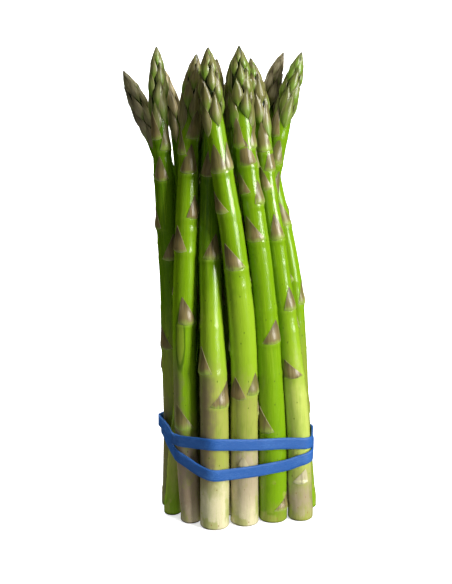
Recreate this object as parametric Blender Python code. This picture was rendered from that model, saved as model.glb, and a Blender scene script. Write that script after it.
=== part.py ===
"""Bundle of asparagus: spears that stand on their cut ends, held by one rubber band wound round twice.

Sizes and places are in millimetres and become metres where a mesh is made. A bearing is the direction from a
spear's middle in degrees, seen from above: 0 is the front (-Y), 90 the right (+X), 180 the back.
"""

import math
from typing import NamedTuple

import bmesh
import bpy
import numpy as np
from mathutils import Vector

BUNDLE = "asparagus_bundle"
MM = 0.001
WELD = 0.00001

# The plan of the bundle: its levels, the room between neighbours, and the middle of its box on the plan
LEVEL_STEP = 5.0
TOP_LEVEL = 230.0
SLOPE_REACH = 2.0
CORE_GAP = 0.5
MIDDLE = (-6.5, 0.8)
EVENING_ROUNDS = 4
SETTLE_ROUNDS = 160
PULLED_ROUNDS = 120
LATE_EVENING_STEP = 6
PULL_BACK = 0.06
PAST_THE_TIP = 2.0

# A spear's shape: shares of its neck's radius at distances below the tip
HEAD_LENGTH = 36.0
HEAD_OUTLINE = ((0, 0.10), (3, 0.44), (7, 0.72), (13, 0.97), (20, 1.08), (28, 1.06), (36, 1.0))
STEM_STATION_STEP = 14.0
HEAD_STATIONS = (28.0, 20.0, 13.0, 7.0, 3.0, 0.0)
UPRIGHT_FOOT = 2.0
TUBE_RESOLUTION = 2

# Scales, the small pointed leaves; widths are shares of the spear's radius
SCALE_THICKNESS = 1.5
SCALE_ROOT_SINK = 0.25
SCALE_EDGE_DROP = 0.4
MIDDLE_ROW = 0.8
SCALE_WAIST = 0.45
SCALE_WAIST_WIDTH = 0.84
SCALE_RISE = 2.2
STEM_SCALE_LENGTH = 12.5
STEM_SCALE_WIDTH = 1.55
STEM_SCALE_PROUD = 1.1
HEAD_SCALE_REACH = 0.9
HEAD_SCALE_LENGTH = 8.0
HEAD_SCALE_GROWTH = 0.17
HEAD_SCALE_WIDTH = 1.75
HEAD_SCALE_PROUD = 1.5
HEAD_SCALES = 13
FIRST_HEAD_SCALE = 7.0
HEAD_SCALE_STEP = 2.35

# Where scales stand by rule: a spiral, or its swing to either side of the back on a spear seen from the front
SPIRAL_STEP = 137.5
GOLDEN_SHARE = 0.618
LOWEST_RULE_SCALE = 8.0
HIDDEN_SCALE_STEP = 19.0
BACK_SCALE_STEP = 32.0
BACK_SPREAD = 60.0

# How neighbours and the band press a scale flat
CELL_GAP = 0.35
CLEAR_OF_TIP = 4.0
PRESS_ROUNDS = 12
DEEPEST_PRESS = -0.9
BAND_ZONE = (21.0, 49.5)
FLAT_UNDER_BAND = 0.15

# The rubber band
BAND_WIDTH = 5.6
BAND_THICKNESS = 1.0
BAND_GAP = 0.65
BAND_START = -90
BAND_FACING_STEP = 3
BAND_TRIES = 4
BAND_SECTIONS = 56
BAND_LIFT_OVER = 1.45


class Spear(NamedTuple):
    """One spear: its girth as (z, radius), its middle's run as (z, x, y), its stem scales as (z, bearing).

    A spear with a higher hold moves less when two neighbours are parted.
    """

    name: str
    girth: tuple
    run: tuple
    scales: tuple = ()
    turn: float = 0.0
    hold: float = 1.0

    @property
    def tip(self):
        return self.run[-1][0]


SPEARS = (
    Spear(
        "spear_left",
        ((0, 5.5), (84, 5.1), (118, 4.7), (173, 4.4), (184, 3.8), (188, 3.7)),
        ((0, -33, 9.5), (50, -31, 9), (85, -31, 5.5), (118, -32.5, 2.5), (145, -34, 0.5), (173, -34.5, -1),
         (199, -37, -2), (224.5, -37, -3)),
        ((184, -45), (179, 45), (165.5, -15), (142.5, -75), (128, 17), (83.5, -40)), 40, 4,
    ),
    Spear(
        "spear_slim_left", ((0, 4.4), (180, 3.2)),
        ((0, -32.4, -1), (50, -29, 0), (90, -23, 3), (120, -22.5, 5), (150, -26, 8), (178, -27, 9.7),
         (191, -27.5, 10.3), (200, -30, 10.8), (209, -33.2, 11.2), (217, -36.3, 11.5)),
        ((120, 90),), 204, 3,
    ),
    Spear(
        "spear_front_left",
        ((0, 5.0), (47, 5.5), (121, 5.5), (148, 5.1), (163, 4.6), (185, 4.1)),
        ((0, -23.2, -9.6), (47, -25.4, -9), (93, -25.8, -8.5), (121, -25, -8), (148, -23.7, -7.5),
         (183, -22.9, -7), (208, -22.1, -6.5), (221.5, -19.4, -6)),
        ((184.8, 35), (177.5, -60), (169.5, 5), (149, 45), (133.5, -40), (99.5, 20), (51, -20)), 300, 4,
    ),
    Spear(
        "spear_front",
        ((0, 7.0), (52, 6.8), (76, 6.5), (91, 5.8), (106, 5.3), (150, 5.0), (162, 4.6), (183, 4.2)),
        ((0, -11.6, -15), (52, -11.5, -15.7), (91, -12.4, -14), (118, -13.2, -12), (150, -14, -7.3),
         (176, -13.5, -3.5), (200, -11.5, 0.5), (219, -10.2, 3)),
        ((167, -10), (130, 10), (77, -50), (60, 50)), 100, 4,
    ),
    Spear(
        "spear_front_middle",
        ((0, 6.8), (47, 6.6), (79, 6.3), (107, 6.1), (122, 5.8), (140, 5.5), (164, 5.0), (188, 4.4)),
        ((0, 2.9, -11.2), (47, 2.7, -12.1), (79, 3, -13.4), (107, 1, -14.5), (122.5, -0.7, -15),
         (140, -3, -15.2), (164, -6.5, -15.5), (186, -10.7, -16), (206, -14, -16), (224.5, -14.1, -16)),
        ((171.5, 60), (171, -20), (153, -40), (127, 0), (65, -32), (67, 52)), 20, 4,
    ),
    Spear(
        "spear_front_right",
        ((0, 7.0), (46, 6.8), (77, 5.9), (90, 5.8), (121, 5.4), (140, 5.1), (173, 4.7), (189, 4.7)),
        ((0, 16.9, -7), (46, 16.4, -8), (90, 14.8, -8.6), (121, 11.3, -9.5), (140, 8.7, -9.7),
         (158, 6.1, -10), (173, 2.9, -10), (187, 0.6, -10), (205, 0.1, -10), (225, -0.4, -10)),
        ((181.5, -40), (180.5, 70), (173.5, 12), (161, -48), (155.5, 55), (139, -18), (90.5, 28), (50.5, -40),
         (6.5, 50)), 150, 4,
    ),
    Spear(
        "spear_right",
        ((0, 6.1), (48, 5.6), (77, 5.2), (105, 4.7), (139, 4.3), (158, 3.9), (183, 3.9)),
        ((0, 30, -6), (48, 27.9, -6.4), (76, 24.6, -5.5), (105, 21.6, -4.5), (139, 15.5, -2.9),
         (158, 13.1, -1.8), (178, 11.5, -0.7), (201, 9.3, 0.6), (219.5, 5, 1.6)),
        ((178, 0), (169, 45), (161, -27), (138.5, 12), (104.5, 38), (72.5, 0), (20, 0)), 260, 4,
    ),
    Spear(
        "spear_far_right",
        ((0, 5.5), (53, 4.9), (96, 4.3), (141, 4.3), (161, 3.9), (185, 3.8)),
        ((0, 33.5, 7), (52, 29.5, 6.5), (96, 28, 8), (108, 27.9, 8.5), (120, 25.7, 9.5), (141, 21.2, 11),
         (161, 15, 13), (185, 11.5, 14.5), (202, 11.4, 14.5), (214, 13.5, 14), (221.5, 18.5, 14)),
        ((141.5, 35), (115.5, -30), (104, 65)), 330, 3,
    ),
    Spear(
        "spear_leaning_left", ((0, 5.6), (177, 3.9)),
        ((0, -19, 15), (50, -19, 14.5), (110, -21.5, 14), (150, -28, 13.5), (177, -35.9, 13),
         (187.5, -41.3, 12.5), (200, -47.1, 12), (213.5, -53.2, 11)),
        (), 80, 1.5,
    ),
    Spear(
        "spear_leaning_right", ((0, 5.6), (186, 4.0)),
        ((0, 5, 1.5), (50, 4.5, 1), (110, 6.5, 2), (163, 14.6, 4.5), (182, 16.9, 5.6), (191.6, 19.8, 5.7),
         (203, 22.6, 5.8), (213, 24.2, 6), (222, 27.6, 6)),
        ((184, -50), (172, 0), (157, 40)), 10, 2,
    ),
    Spear(
        "spear_middle", ((0, 5.4), (186, 3.9)),
        ((0, -8, -2), (50, -8, -2.5), (110, -5, -2), (160, -2.5, 0), (208, -3.8, 1.3), (222.5, -1.6, 1)),
        (), 190, 1.5,
    ),
    Spear(
        "spear_inner_right", ((0, 6.0), (175, 4.2)),
        ((0, 17, 6), (50, 16.5, 5.5), (110, 14, 6), (160, 3, 9), (211, 1, 12)), (), 70, 1,
    ),
    Spear(
        "spear_inner_left", ((0, 5.6), (174, 4.0)),
        ((0, -20.5, 3), (50, -19.5, 3), (90, -15, 4.5), (120, -15, 5.5), (160, -19, 6.5), (210, -22, 7)),
        (), 0, 1,
    ),
    Spear(
        "spear_back_middle", ((0, 6.2), (176, 4.3)),
        ((0, -4.5, 10.5), (50, -4.5, 10.5), (110, -4.5, 10.5), (160, -11, 9), (212, -14.5, 10)), (), 120, 1,
    ),
    Spear(
        "spear_back_right", ((0, 6.0), (172, 4.1)),
        ((0, 9, 15), (50, 9, 14.5), (110, 2, 14), (160, -5, 15), (208, -6, 17)), (), 240, 1,
    ),
    Spear(
        "spear_far_back", ((0, 5.6), (173, 4.0)),
        ((0, 22.5, 18), (50, 21.5, 16.5), (110, 15, 16), (160, 8, 18), (209, 5, 20)), (), 310, 1,
    ),
)

# Height of the band's middle at bearings from the bundle's middle, for its first turn and then its second
BAND_TURN_ONE = (
    (-101, 44.8), (-74, 45.2), (-59, 42.6), (-15, 44.2), (38, 42.2), (63, 41.5), (78, 39.7), (100, 39.4),
    (180, 39), (225, 40), (259, 41),
)
BAND_TURN_TWO = (
    (-101, 41), (-74, 36.8), (-57, 34.6), (-46, 32.6), (-33, 30.1), (-14, 28.4), (38, 28.9), (52, 29.6),
    (64, 30.3), (70, 32.2), (78, 33.5), (100, 33.8), (180, 36), (225, 42.5), (259, 44.8),
)
BAND_RAMPS = ((-72, -52), (118, 142))

# Colours as linear red, green, blue
STEM_GREEN = (0.14, 0.33, 0.02)
STEM_SHADES = (0.85, 1.0, 1.15)
BAND_BLUE = (0.03, 0.15, 0.52)
STEM_ROUGHNESS = 0.45
BAND_ROUGHNESS = 0.5
SHARP_ANGLE = 40


def levels():
    """The heights at which the bundle is laid out."""
    return np.arange(0.0, TOP_LEVEL + LEVEL_STEP, LEVEL_STEP)


def radius_at(spear, z):
    """A spear's radius at heights z; nothing above its tip."""
    z = np.asarray(z, dtype=float)
    below_tip = spear.tip - z
    heights, radii = zip(*spear.girth)
    stem = np.interp(z, heights, radii)
    distances, shares = zip(*HEAD_OUTLINE)
    head = radii[-1] * np.interp(below_tip, distances, shares)
    return np.where(below_tip < 0, 0.0, np.where(below_tip < HEAD_LENGTH, head, stem))


def even_out(runs):
    """Evens out each run along its height; its two ends stay."""
    runs[:, 1:-1] = (runs[:, :-2] + 2 * runs[:, 1:-1] + runs[:, 2:]) / 4


def part_neighbours(runs, radii, holds):
    """Moves two spears apart wherever they come closer than CORE_GAP; the firmer of them moves less."""
    for first in range(len(SPEARS)):
        for second in range(first + 1, len(SPEARS)):
            apart = runs[second] - runs[first]
            distance = np.maximum(np.linalg.norm(apart, axis=1), 0.01)
            both = (radii[first] > 0) & (radii[second] > 0)
            short = np.where(both, radii[first] + radii[second] + CORE_GAP - distance, 0.0).clip(0.0)
            push = apart * (short / distance)[:, None]
            share = holds[second] / (holds[first] + holds[second])
            runs[first] -= push * share
            runs[second] += push * (1 - share)


def plan_runs():
    """Where the middle of each spear is at every level, once the spears have settled against each other."""
    heights = levels()
    wanted = np.empty((len(SPEARS), len(heights), 2))
    for place, spear in enumerate(SPEARS):
        run = np.array(spear.run, dtype=float)
        beyond = run[-1] + (run[-1] - run[-2]) * PAST_THE_TIP
        z, x, y = np.vstack([run, beyond]).T
        wanted[place, :, 0] = np.interp(heights, z, x)
        wanted[place, :, 1] = np.interp(heights, z, y)
    for _ in range(EVENING_ROUNDS):
        even_out(wanted)
    slopes = np.gradient(wanted, LEVEL_STEP, axis=1)
    leans = np.sqrt(1 + (slopes**2).sum(axis=2))
    radii = [radius_at(spear, heights) * lean for spear, lean in zip(SPEARS, leans)]
    holds = [spear.hold for spear in SPEARS]
    runs = wanted.copy()
    for step in range(SETTLE_ROUNDS):
        if step < PULLED_ROUNDS:
            runs += (wanted - runs) * PULL_BACK
            even_out(runs)
        elif step % LATE_EVENING_STEP == 0:
            even_out(runs)
        part_neighbours(runs, radii, holds)
    runs[:, 1] = runs[:, 0]
    return runs - np.array(MIDDLE)


def middle_at(runs, place, z):
    """The middle of one spear at height z, with z itself."""
    heights = levels()
    x = np.interp(z, heights, runs[place, :, 0])
    y = np.interp(z, heights, runs[place, :, 1])
    return np.array((x, y, z))


def frame_at(runs, place, z):
    """The middle of a spear at height z, with its directions to the front and to the right."""
    along = middle_at(runs, place, z + SLOPE_REACH) - middle_at(runs, place, z - SLOPE_REACH)
    right = np.cross(along, (0.0, -1.0, 0.0))
    right /= np.linalg.norm(right)
    front = np.cross(right, along)
    return middle_at(runs, place, z), front / np.linalg.norm(front), right


def new_object(name, mesh, collection):
    item = bpy.data.objects.new(name, mesh)
    collection.objects.link(item)
    return item


def evaluated_mesh(item):
    """The mesh of an object with its modifiers, or of a curve with its thickness."""
    bpy.context.view_layer.update()
    return bpy.data.meshes.new_from_object(item.evaluated_get(bpy.context.evaluated_depsgraph_get()))


def weld(mesh):
    """Merges the points of a mesh that lie together."""
    work = bmesh.new()
    work.from_mesh(mesh)
    bmesh.ops.remove_doubles(work, verts=work.verts, dist=WELD)
    bmesh.ops.recalc_face_normals(work, faces=work.faces)
    work.to_mesh(mesh)
    work.free()


def spear_core(runs, place, collection):
    """The bare spear: a tube on a run of points, thin at its tip, upright and cut level at its foot."""
    spear = SPEARS[place]
    neck_height = spear.tip - HEAD_LENGTH
    count = round(neck_height / STEM_STATION_STEP)
    stations = [0.0, UPRIGHT_FOOT]
    stations += [neck_height * step / count for step in range(1, count + 1)]
    stations += [spear.tip - below for below in HEAD_STATIONS]
    curve = bpy.data.curves.new(spear.name, "CURVE")
    curve.dimensions = "3D"
    curve.bevel_depth = MM
    curve.bevel_resolution = TUBE_RESOLUTION
    curve.render_resolution_u = 0
    curve.use_fill_caps = True
    spline = curve.splines.new("POLY")
    spline.points.add(len(stations) - 1)
    for point, z in zip(spline.points, stations):
        point.co = (*(middle_at(runs, place, z) * MM), 1.0)
        point.radius = float(radius_at(spear, z))
    tube = new_object(spear.name + "_tube", curve, collection)
    mesh = evaluated_mesh(tube)
    weld(mesh)
    core = new_object(spear.name, mesh, collection)
    core.matrix_world = tube.matrix_world
    bpy.data.objects.remove(tube)
    bpy.data.curves.remove(curve)
    return core


def skin_distance(runs, place, point, z):
    """How far a point is outside the bare skin of a spear at height z."""
    return np.linalg.norm((point - middle_at(runs, place, z))[:2]) - float(radius_at(SPEARS[place], z))


def crowding(runs, place, point):
    """How far a point is past the line between its own spear and the neighbour that crowds it most."""
    own = skin_distance(runs, place, point, point[2])
    excess = 0.0
    for other, neighbour in enumerate(SPEARS):
        if other != place and point[2] < neighbour.tip + CLEAR_OF_TIP:
            height = min(point[2], neighbour.tip)
            excess = max(excess, own - skin_distance(runs, other, point, height) + CELL_GAP)
    return excess


def settled(runs, place, start, outward, offset):
    """A scale's point at its offset from the skin, pressed flatter by crowding neighbours and by the band."""
    if BAND_ZONE[0] < start[2] < BAND_ZONE[1]:
        offset = min(offset, FLAT_UNDER_BAND)
    point = start + outward * offset
    for _ in range(PRESS_ROUNDS):
        excess = crowding(runs, place, point)
        if excess <= 0.0 or offset < DEEPEST_PRESS:
            break
        offset -= excess / 2
        point = start + outward * offset
    return point


def scale_body(runs, place, z, bearing, size, proud, rows, collection):
    """One scale: a small grid drawn to a point, wrapped on the spear, and given its thickness inwards."""
    spear = SPEARS[place]
    length, width = size
    base_radius = float(radius_at(spear, z))
    work = bmesh.new()
    bmesh.ops.create_grid(work, x_segments=2, y_segments=rows, size=1.0)
    for vert in work.verts:
        across, rise = vert.co.x, (vert.co.y + 1) / 2
        root, point = vert.co.y < -MIDDLE_ROW, vert.co.y > MIDDLE_ROW
        if not root and not point:
            rise = SCALE_WAIST
            across *= SCALE_WAIST_WIDTH
        if point:
            across = 0.0
        height = z + length * rise
        offset = proud * min(1.0, rise * SCALE_RISE) - SCALE_ROOT_SINK * root - SCALE_EDGE_DROP * abs(across)
        middle, front, right = frame_at(runs, place, height)
        angle = math.radians(bearing) + across * width / 2 / base_radius
        outward = front * math.cos(angle) + right * math.sin(angle)
        skin = middle + outward * float(radius_at(spear, min(height, spear.tip)))
        vert.co = Vector(settled(runs, place, skin, outward, offset) * MM)
    bmesh.ops.remove_doubles(work, verts=work.verts, dist=WELD)
    bmesh.ops.recalc_face_normals(work, faces=work.faces)
    work.faces.ensure_lookup_table()
    face = work.faces[0]
    if face.normal.dot(face.calc_center_median() - Vector(middle_at(runs, place, z) * MM)) < 0:
        bmesh.ops.reverse_faces(work, faces=work.faces)
    bmesh.ops.solidify(work, geom=work.faces, thickness=SCALE_THICKNESS * MM)
    bmesh.ops.recalc_face_normals(work, faces=work.faces)
    mesh = bpy.data.meshes.new("scale")
    work.to_mesh(mesh)
    work.free()
    return new_object("scale", mesh, collection)


def stem_scales(place):
    """Heights and bearings of the stem scales: the ones that the front shows, and the rest by rule."""
    spear = SPEARS[place]
    places = list(spear.scales)
    seen = bool(places)
    step = BACK_SCALE_STEP if seen else HIDDEN_SCALE_STEP
    height = LOWEST_RULE_SCALE + step * (place * GOLDEN_SHARE % 1.0)
    turn = spear.turn
    while height < spear.tip - HEAD_LENGTH - STEM_SCALE_LENGTH / 2:
        turn += SPIRAL_STEP
        bearing = 180 + BACK_SPREAD * math.sin(math.radians(turn)) if seen else turn
        if not BAND_ZONE[0] - STEM_SCALE_LENGTH < height < BAND_ZONE[1]:
            places.append((height, bearing))
        height += step
    return places


def add_scales(runs, place, collection):
    """All scales of a spear: single ones on the stem, and overlapping ones that shrink towards the tip."""
    spear = SPEARS[place]
    for height, bearing in stem_scales(place):
        size = STEM_SCALE_LENGTH, STEM_SCALE_WIDTH * float(radius_at(spear, height))
        scale_body(runs, place, height, bearing, size, STEM_SCALE_PROUD, 2, collection)
    for step in range(HEAD_SCALES):
        below_tip = FIRST_HEAD_SCALE + HEAD_SCALE_STEP * step
        height = spear.tip - below_tip
        bearing = spear.turn + SPIRAL_STEP * step
        length = min(HEAD_SCALE_REACH * below_tip, HEAD_SCALE_LENGTH + HEAD_SCALE_GROWTH * below_tip)
        size = length, HEAD_SCALE_WIDTH * float(radius_at(spear, height))
        scale_body(runs, place, height, bearing, size, HEAD_SCALE_PROUD, 1, collection)


def join_all(target, collection):
    """Joins every object of a collection to the target with one Boolean union and removes those objects."""
    union = target.modifiers.new("union", "BOOLEAN")
    union.operation = "UNION"
    union.operand_type = "COLLECTION"
    union.collection = collection
    mesh = evaluated_mesh(target)
    target.modifiers.clear()
    target.data = mesh
    for item in list(collection.objects):
        bpy.data.objects.remove(item)


def finish(item, colour, roughness):
    """Gives an object its own material."""
    made = bpy.data.materials.new(item.name)
    made.use_nodes = True
    shader = made.node_tree.nodes["Principled BSDF"]
    shader.inputs["Base Color"].default_value = (*colour, 1.0)
    shader.inputs["Roughness"].default_value = roughness
    shader.inputs["Metallic"].default_value = 0.0
    made.diffuse_color = (*colour, 1.0)
    item.data.materials.clear()
    item.data.materials.append(made)


def make_spear(runs, place, parts, scales):
    """One spear in one body: its tube with all its scales joined on."""
    core = spear_core(runs, place, parts)
    add_scales(runs, place, scales)
    join_all(core, scales)
    shade = STEM_SHADES[place % len(STEM_SHADES)]
    finish(core, [shade * part for part in STEM_GREEN], STEM_ROUGHNESS)
    core.data.shade_smooth()
    core.data.set_sharp_from_angle(angle=math.radians(SHARP_ANGLE))


def band_height(turn, bearing):
    """Height of the band's middle at a place's bearing from the middle, on its first or second turn."""
    bearings, heights = zip(*(BAND_TURN_ONE, BAND_TURN_TWO)[turn])
    return float(np.interp(bearing, bearings, heights))


def band_lift(turn, bearing):
    """How far the band's over strand is lifted off the under one, at the left and at the back."""
    down, up = BAND_RAMPS
    if turn == 0:
        share = np.interp(bearing, down, (1.0, 0.0))
    else:
        share = np.interp(bearing, up, (0.0, 1.0))
    return BAND_LIFT_OVER * float(share * share * (3 - 2 * share))


def bearing_of(point, near):
    """The bearing of a place from the bundle's middle, within half a turn of another bearing."""
    bearing = math.degrees(math.atan2(point[0], -point[1]))
    return near + (bearing - near + 180) % 360 - 180


def band_contact(runs, turn, facing):
    """Where the band leans on the bundle with its face to a bearing, and its outward direction there."""
    angle = math.radians(facing)
    outward = np.array((math.sin(angle), -math.cos(angle), 0.0))
    bearing = facing
    for _ in range(BAND_TRIES):
        height = band_height(turn, bearing)
        touched = []
        for place, spear in enumerate(SPEARS):
            reach = float(radius_at(spear, height)) + BAND_GAP + band_lift(turn, facing)
            point = middle_at(runs, place, height) + outward * reach
            touched.append((float(point @ outward), tuple(point)))
        point = np.array(max(touched)[1])
        bearing = bearing_of(point, facing)
    return point, outward


def band_stations(runs):
    """Points of the band's inner face with their outward directions, evenly spaced along both turns."""
    facings = [(turn, facing) for turn in (0, 1)
               for facing in range(BAND_START, BAND_START + 360, BAND_FACING_STEP)]
    contacts = [band_contact(runs, turn, facing) for turn, facing in facings]
    points, outwards = (np.array(values) for values in zip(*contacts, contacts[0]))
    steps = np.linalg.norm(np.diff(points[:, :2], axis=0), axis=1)
    along = np.concatenate([[0.0], np.cumsum(steps)])
    even = np.linspace(0, along[-1], 2 * BAND_SECTIONS + 1)[:-1]
    line = np.stack([np.interp(even, along, points[:, axis]) for axis in range(3)], axis=-1)
    outward = np.stack([np.interp(even, along, outwards[:, axis]) for axis in range(3)], axis=-1)
    outward /= np.linalg.norm(outward, axis=1, keepdims=True)
    turned = np.interp(even, along, [360.0 * turn + facing for turn, facing in facings] + [BAND_START + 720.0])
    for place, whole in enumerate(turned):
        turn = int(whole >= BAND_START + 360)
        line[place, 2] = band_height(turn, bearing_of(line[place], whole - 360.0 * turn))
    return list(zip(line, outward))


def make_band(runs, parts):
    """The band: a flat strip laid along its stations, two turns long and closed on itself."""
    stations = band_stations(runs)
    work = bmesh.new()
    rings = []
    for place, (point, outward) in enumerate(stations):
        ahead = stations[(place + 1) % len(stations)][0] - stations[place - 1][0]
        upward = np.cross(ahead, outward)
        upward *= BAND_WIDTH / 2 / np.linalg.norm(upward)
        outer = outward * BAND_THICKNESS
        corners = (point - upward, point - upward + outer, point + upward + outer, point + upward)
        rings.append([work.verts.new(corner * MM) for corner in corners])
    for place, ring in enumerate(rings):
        following = rings[(place + 1) % len(rings)]
        for corner in range(4):
            after = (corner + 1) % 4
            work.faces.new((ring[corner], ring[after], following[after], following[corner]))
    bmesh.ops.recalc_face_normals(work, faces=work.faces)
    mesh = bpy.data.meshes.new("rubber_band")
    work.to_mesh(mesh)
    work.free()
    finish(new_object("rubber_band", mesh, parts), BAND_BLUE, BAND_ROUGHNESS)


def main():
    for item in list(bpy.data.objects):
        bpy.data.objects.remove(item)
    parts = bpy.data.collections.new(BUNDLE)
    scales = bpy.data.collections.new("scales")
    bpy.context.scene.collection.children.link(parts)
    bpy.context.scene.collection.children.link(scales)
    runs = plan_runs()
    for place in range(len(SPEARS)):
        make_spear(runs, place, parts, scales)
    make_band(runs, parts)
    bpy.data.collections.remove(scales)


main()
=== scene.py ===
"""Bundle of asparagus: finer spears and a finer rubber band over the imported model, with studio and camera.

Sizes and places are in millimetres until a mesh is made. A bearing is the direction from a spear's middle in
degrees, seen from above: 0 is the front (-Y), 90 the right (+X), 180 the back.
"""

import math
from typing import NamedTuple

import bpy
import numpy as np
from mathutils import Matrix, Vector


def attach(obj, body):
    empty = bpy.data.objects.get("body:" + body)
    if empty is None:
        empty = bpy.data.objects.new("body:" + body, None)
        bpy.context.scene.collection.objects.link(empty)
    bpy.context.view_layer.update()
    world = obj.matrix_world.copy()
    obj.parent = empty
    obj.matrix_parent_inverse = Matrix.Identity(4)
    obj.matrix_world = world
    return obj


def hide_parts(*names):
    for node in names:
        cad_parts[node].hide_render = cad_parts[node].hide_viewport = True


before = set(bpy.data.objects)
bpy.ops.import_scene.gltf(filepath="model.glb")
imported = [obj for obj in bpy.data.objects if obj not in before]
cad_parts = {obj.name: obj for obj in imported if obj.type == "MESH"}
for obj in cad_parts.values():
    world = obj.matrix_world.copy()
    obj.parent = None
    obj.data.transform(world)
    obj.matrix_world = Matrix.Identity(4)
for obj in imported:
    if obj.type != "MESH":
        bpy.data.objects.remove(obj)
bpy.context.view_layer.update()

bl_info = {
    "name": "Bundle of asparagus",
    "version": (1, 0, 0),
    "blender": (4, 5, 0),
    "location": "3D View > Sidebar > Asparagus",
    "description": "Builds a bundle of asparagus spears with its rubber band and a small studio",
    "category": "Add Mesh",
}

MM = 0.001

# The plan of the bundle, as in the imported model
LEVEL_STEP = 5.0
TOP_LEVEL = 230.0
CORE_GAP = 0.5
MIDDLE = (-6.5, 0.8)
EVENING_ROUNDS = 4
SETTLE_ROUNDS = 160
PULLED_ROUNDS = 120
LATE_EVENING_STEP = 6
PULL_BACK = 0.06
PAST_THE_TIP = 2.0
HEAD_LENGTH = 36.0
HEAD_OUTLINE = ((0, 0.10), (3, 0.44), (7, 0.72), (13, 0.97), (20, 1.08), (28, 1.06), (36, 1.0))
SPIRAL_STEP = 137.5
GOLDEN_SHARE = 0.618
LOWEST_RULE_SCALE = 8.0
HIDDEN_SCALE_STEP = 19.0
BACK_SCALE_STEP = 32.0
BACK_SPREAD = 60.0
STEM_SCALE_LENGTH = 12.5
STEM_SCALE_LENGTHS = (10.5, 12.5)
STEM_SCALE_WIDTH = 1.75
STEM_SCALE_LEANS = (-1.5, 1.5)
CELL_GAP = 0.35
CLEAR_OF_TIP = 4.0
PRESS_ROUNDS = 12
DEEPEST_PRESS = -0.9
BAND_ZONE = (21.0, 49.5)
BAND_ZONE_EASE = 3
FLAT_UNDER_BAND = 0.15

# The finer skin of a spear
STATION_STEP = 1.4
LOWEST_STATIONS = (1.2, 2.2)
STEM_SIDES = 40
GIRTH_STEP = 0.5
GIRTH_SMOOTHING = 3.0
KEPT_BELOW_TIP = (16, 8)
HEAD_CORE_SHARE = 0.76
HEAD_CORE_REACH = 14.0
NODE_WIDTH = 1.0
NODE_DROP = 0.4
NODE_AT_BACK = 0.25
FOOT_ROUNDING = 0.7
FOOT_RINGS = ((0.0, -0.7), (0.12, -0.38), (0.35, -0.12), (FOOT_ROUNDING, 0.0))
TIP_RINGS = (3, 1.8, 0.8, 0.2)
CUT_DISH = 0.25
CUT_SHARES = (1.0, 0.9, 0.75, 0.55, 0.35, 0.15)
SHARP_ANGLE = 55
FIELD_STEP = 0.5
FIELD_SIDES = 90
BUD_WIDEST = 0.40
BUD_EDGE = 0.6
APEX = 7.0
SCALE_OVERLAP = 0.28
SCALE_GRID = (15, 13)
SCALE_DROOP = 0.7
SCALE_ROOT = 0.05
BUD_GRID = (15, 11)
BUD_DROOP = 1.6
BUD_ROOT = 0.10
ROOT_DEPTH = 0.25
BACK_DEPTH = 0.3
NEAR_HEAD = 14
FIRST_SEED = 100

# Unevenness of a stem: times round it, depth as a share of its radius, and height for a radian of twist
STEM_LOBES = ((2, 0.012, 60), (3, 0.008, -45), (5, 0.006, 30))
STEM_SWELLS = ((0, 0.006, 9), (1, 0.005, 5.3))

# Head scales: distance below the tip by step and its square, and length and width that grow with it
HEAD_STEPS = (2.6, 0.75, 0.034)
BUD_LENGTH = (7.5, 0.22)
BUD_WIDTH = (0.8, 0.42)
BUD_WIDEST_GIRTH = 1.4
BUD_LENGTHS = (0.9, 1.1)
BUD_WIDTHS = (0.88, 1.12)
BUD_BEARINGS = (-11, 11)
BUD_LEANS = (-0.7, 0.7)

# The camera: metres, millimetres of lens and sensor, and degrees below level
CAMERA_SPOT = (0.0004, -0.5008, 0.235)
CAMERA_PITCH = 13.85
LENS = 67.38
SENSOR = 36.0

# The studio, in metres
FLOOR_REACH = (-2.5, 0.3)
FLOOR_HALF_WIDTH = 4.0
BEND_RADIUS = 0.8
BACKDROP_TOP = 3.0
FLOOR_MOTTLE = 0.985
GLOW_FADE = (0.3, 1.0)
LIGHT_SPREAD = 3.14


class LightBox(NamedTuple):
    """A soft box: its place, the place it is turned towards, its size and colour, and if it is reflected."""

    name: str
    spot: tuple
    aim: tuple
    size: tuple
    colour: tuple = (1.0, 1.0, 1.0)
    reflected: bool = False


LIGHTS = (
    LightBox("key", (1.0, -0.72, 0.5), (0, 0, 0.12), (0.36, 0.95), (1.0, 0.98, 0.95), True),
    LightBox("fill", (-0.7, -1.3, 0.35), (0, 0, 0.10), (0.9, 0.9)),
    LightBox("top", (0.25, 0.0, 1.6), (0, 0, 0), (1.2, 1.2), reflected=True),
    LightBox("back", (-0.6, 0.85, 0.7), (0, 0, 0.12), (0.7, 0.9)),
    LightBox("bounce", (0, -0.03, 0.001), (0, -0.03, 1), (0.5, 0.45)),
)


class Spear(NamedTuple):
    """One spear: its girth as (z, radius), its middle's run as (z, x, y), and its stem scales.

    A stem scale is (z, bearing, length, width, lean of its tip to the right). Turn is the bearing where the
    spiral of scales starts. A spear with a higher hold moves less when two neighbours are parted.
    """

    name: str
    girth: tuple
    run: tuple
    scales: tuple = ()
    turn: float = 0.0
    hold: float = 1.0

    @property
    def tip(self):
        return self.run[-1][0]


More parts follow.
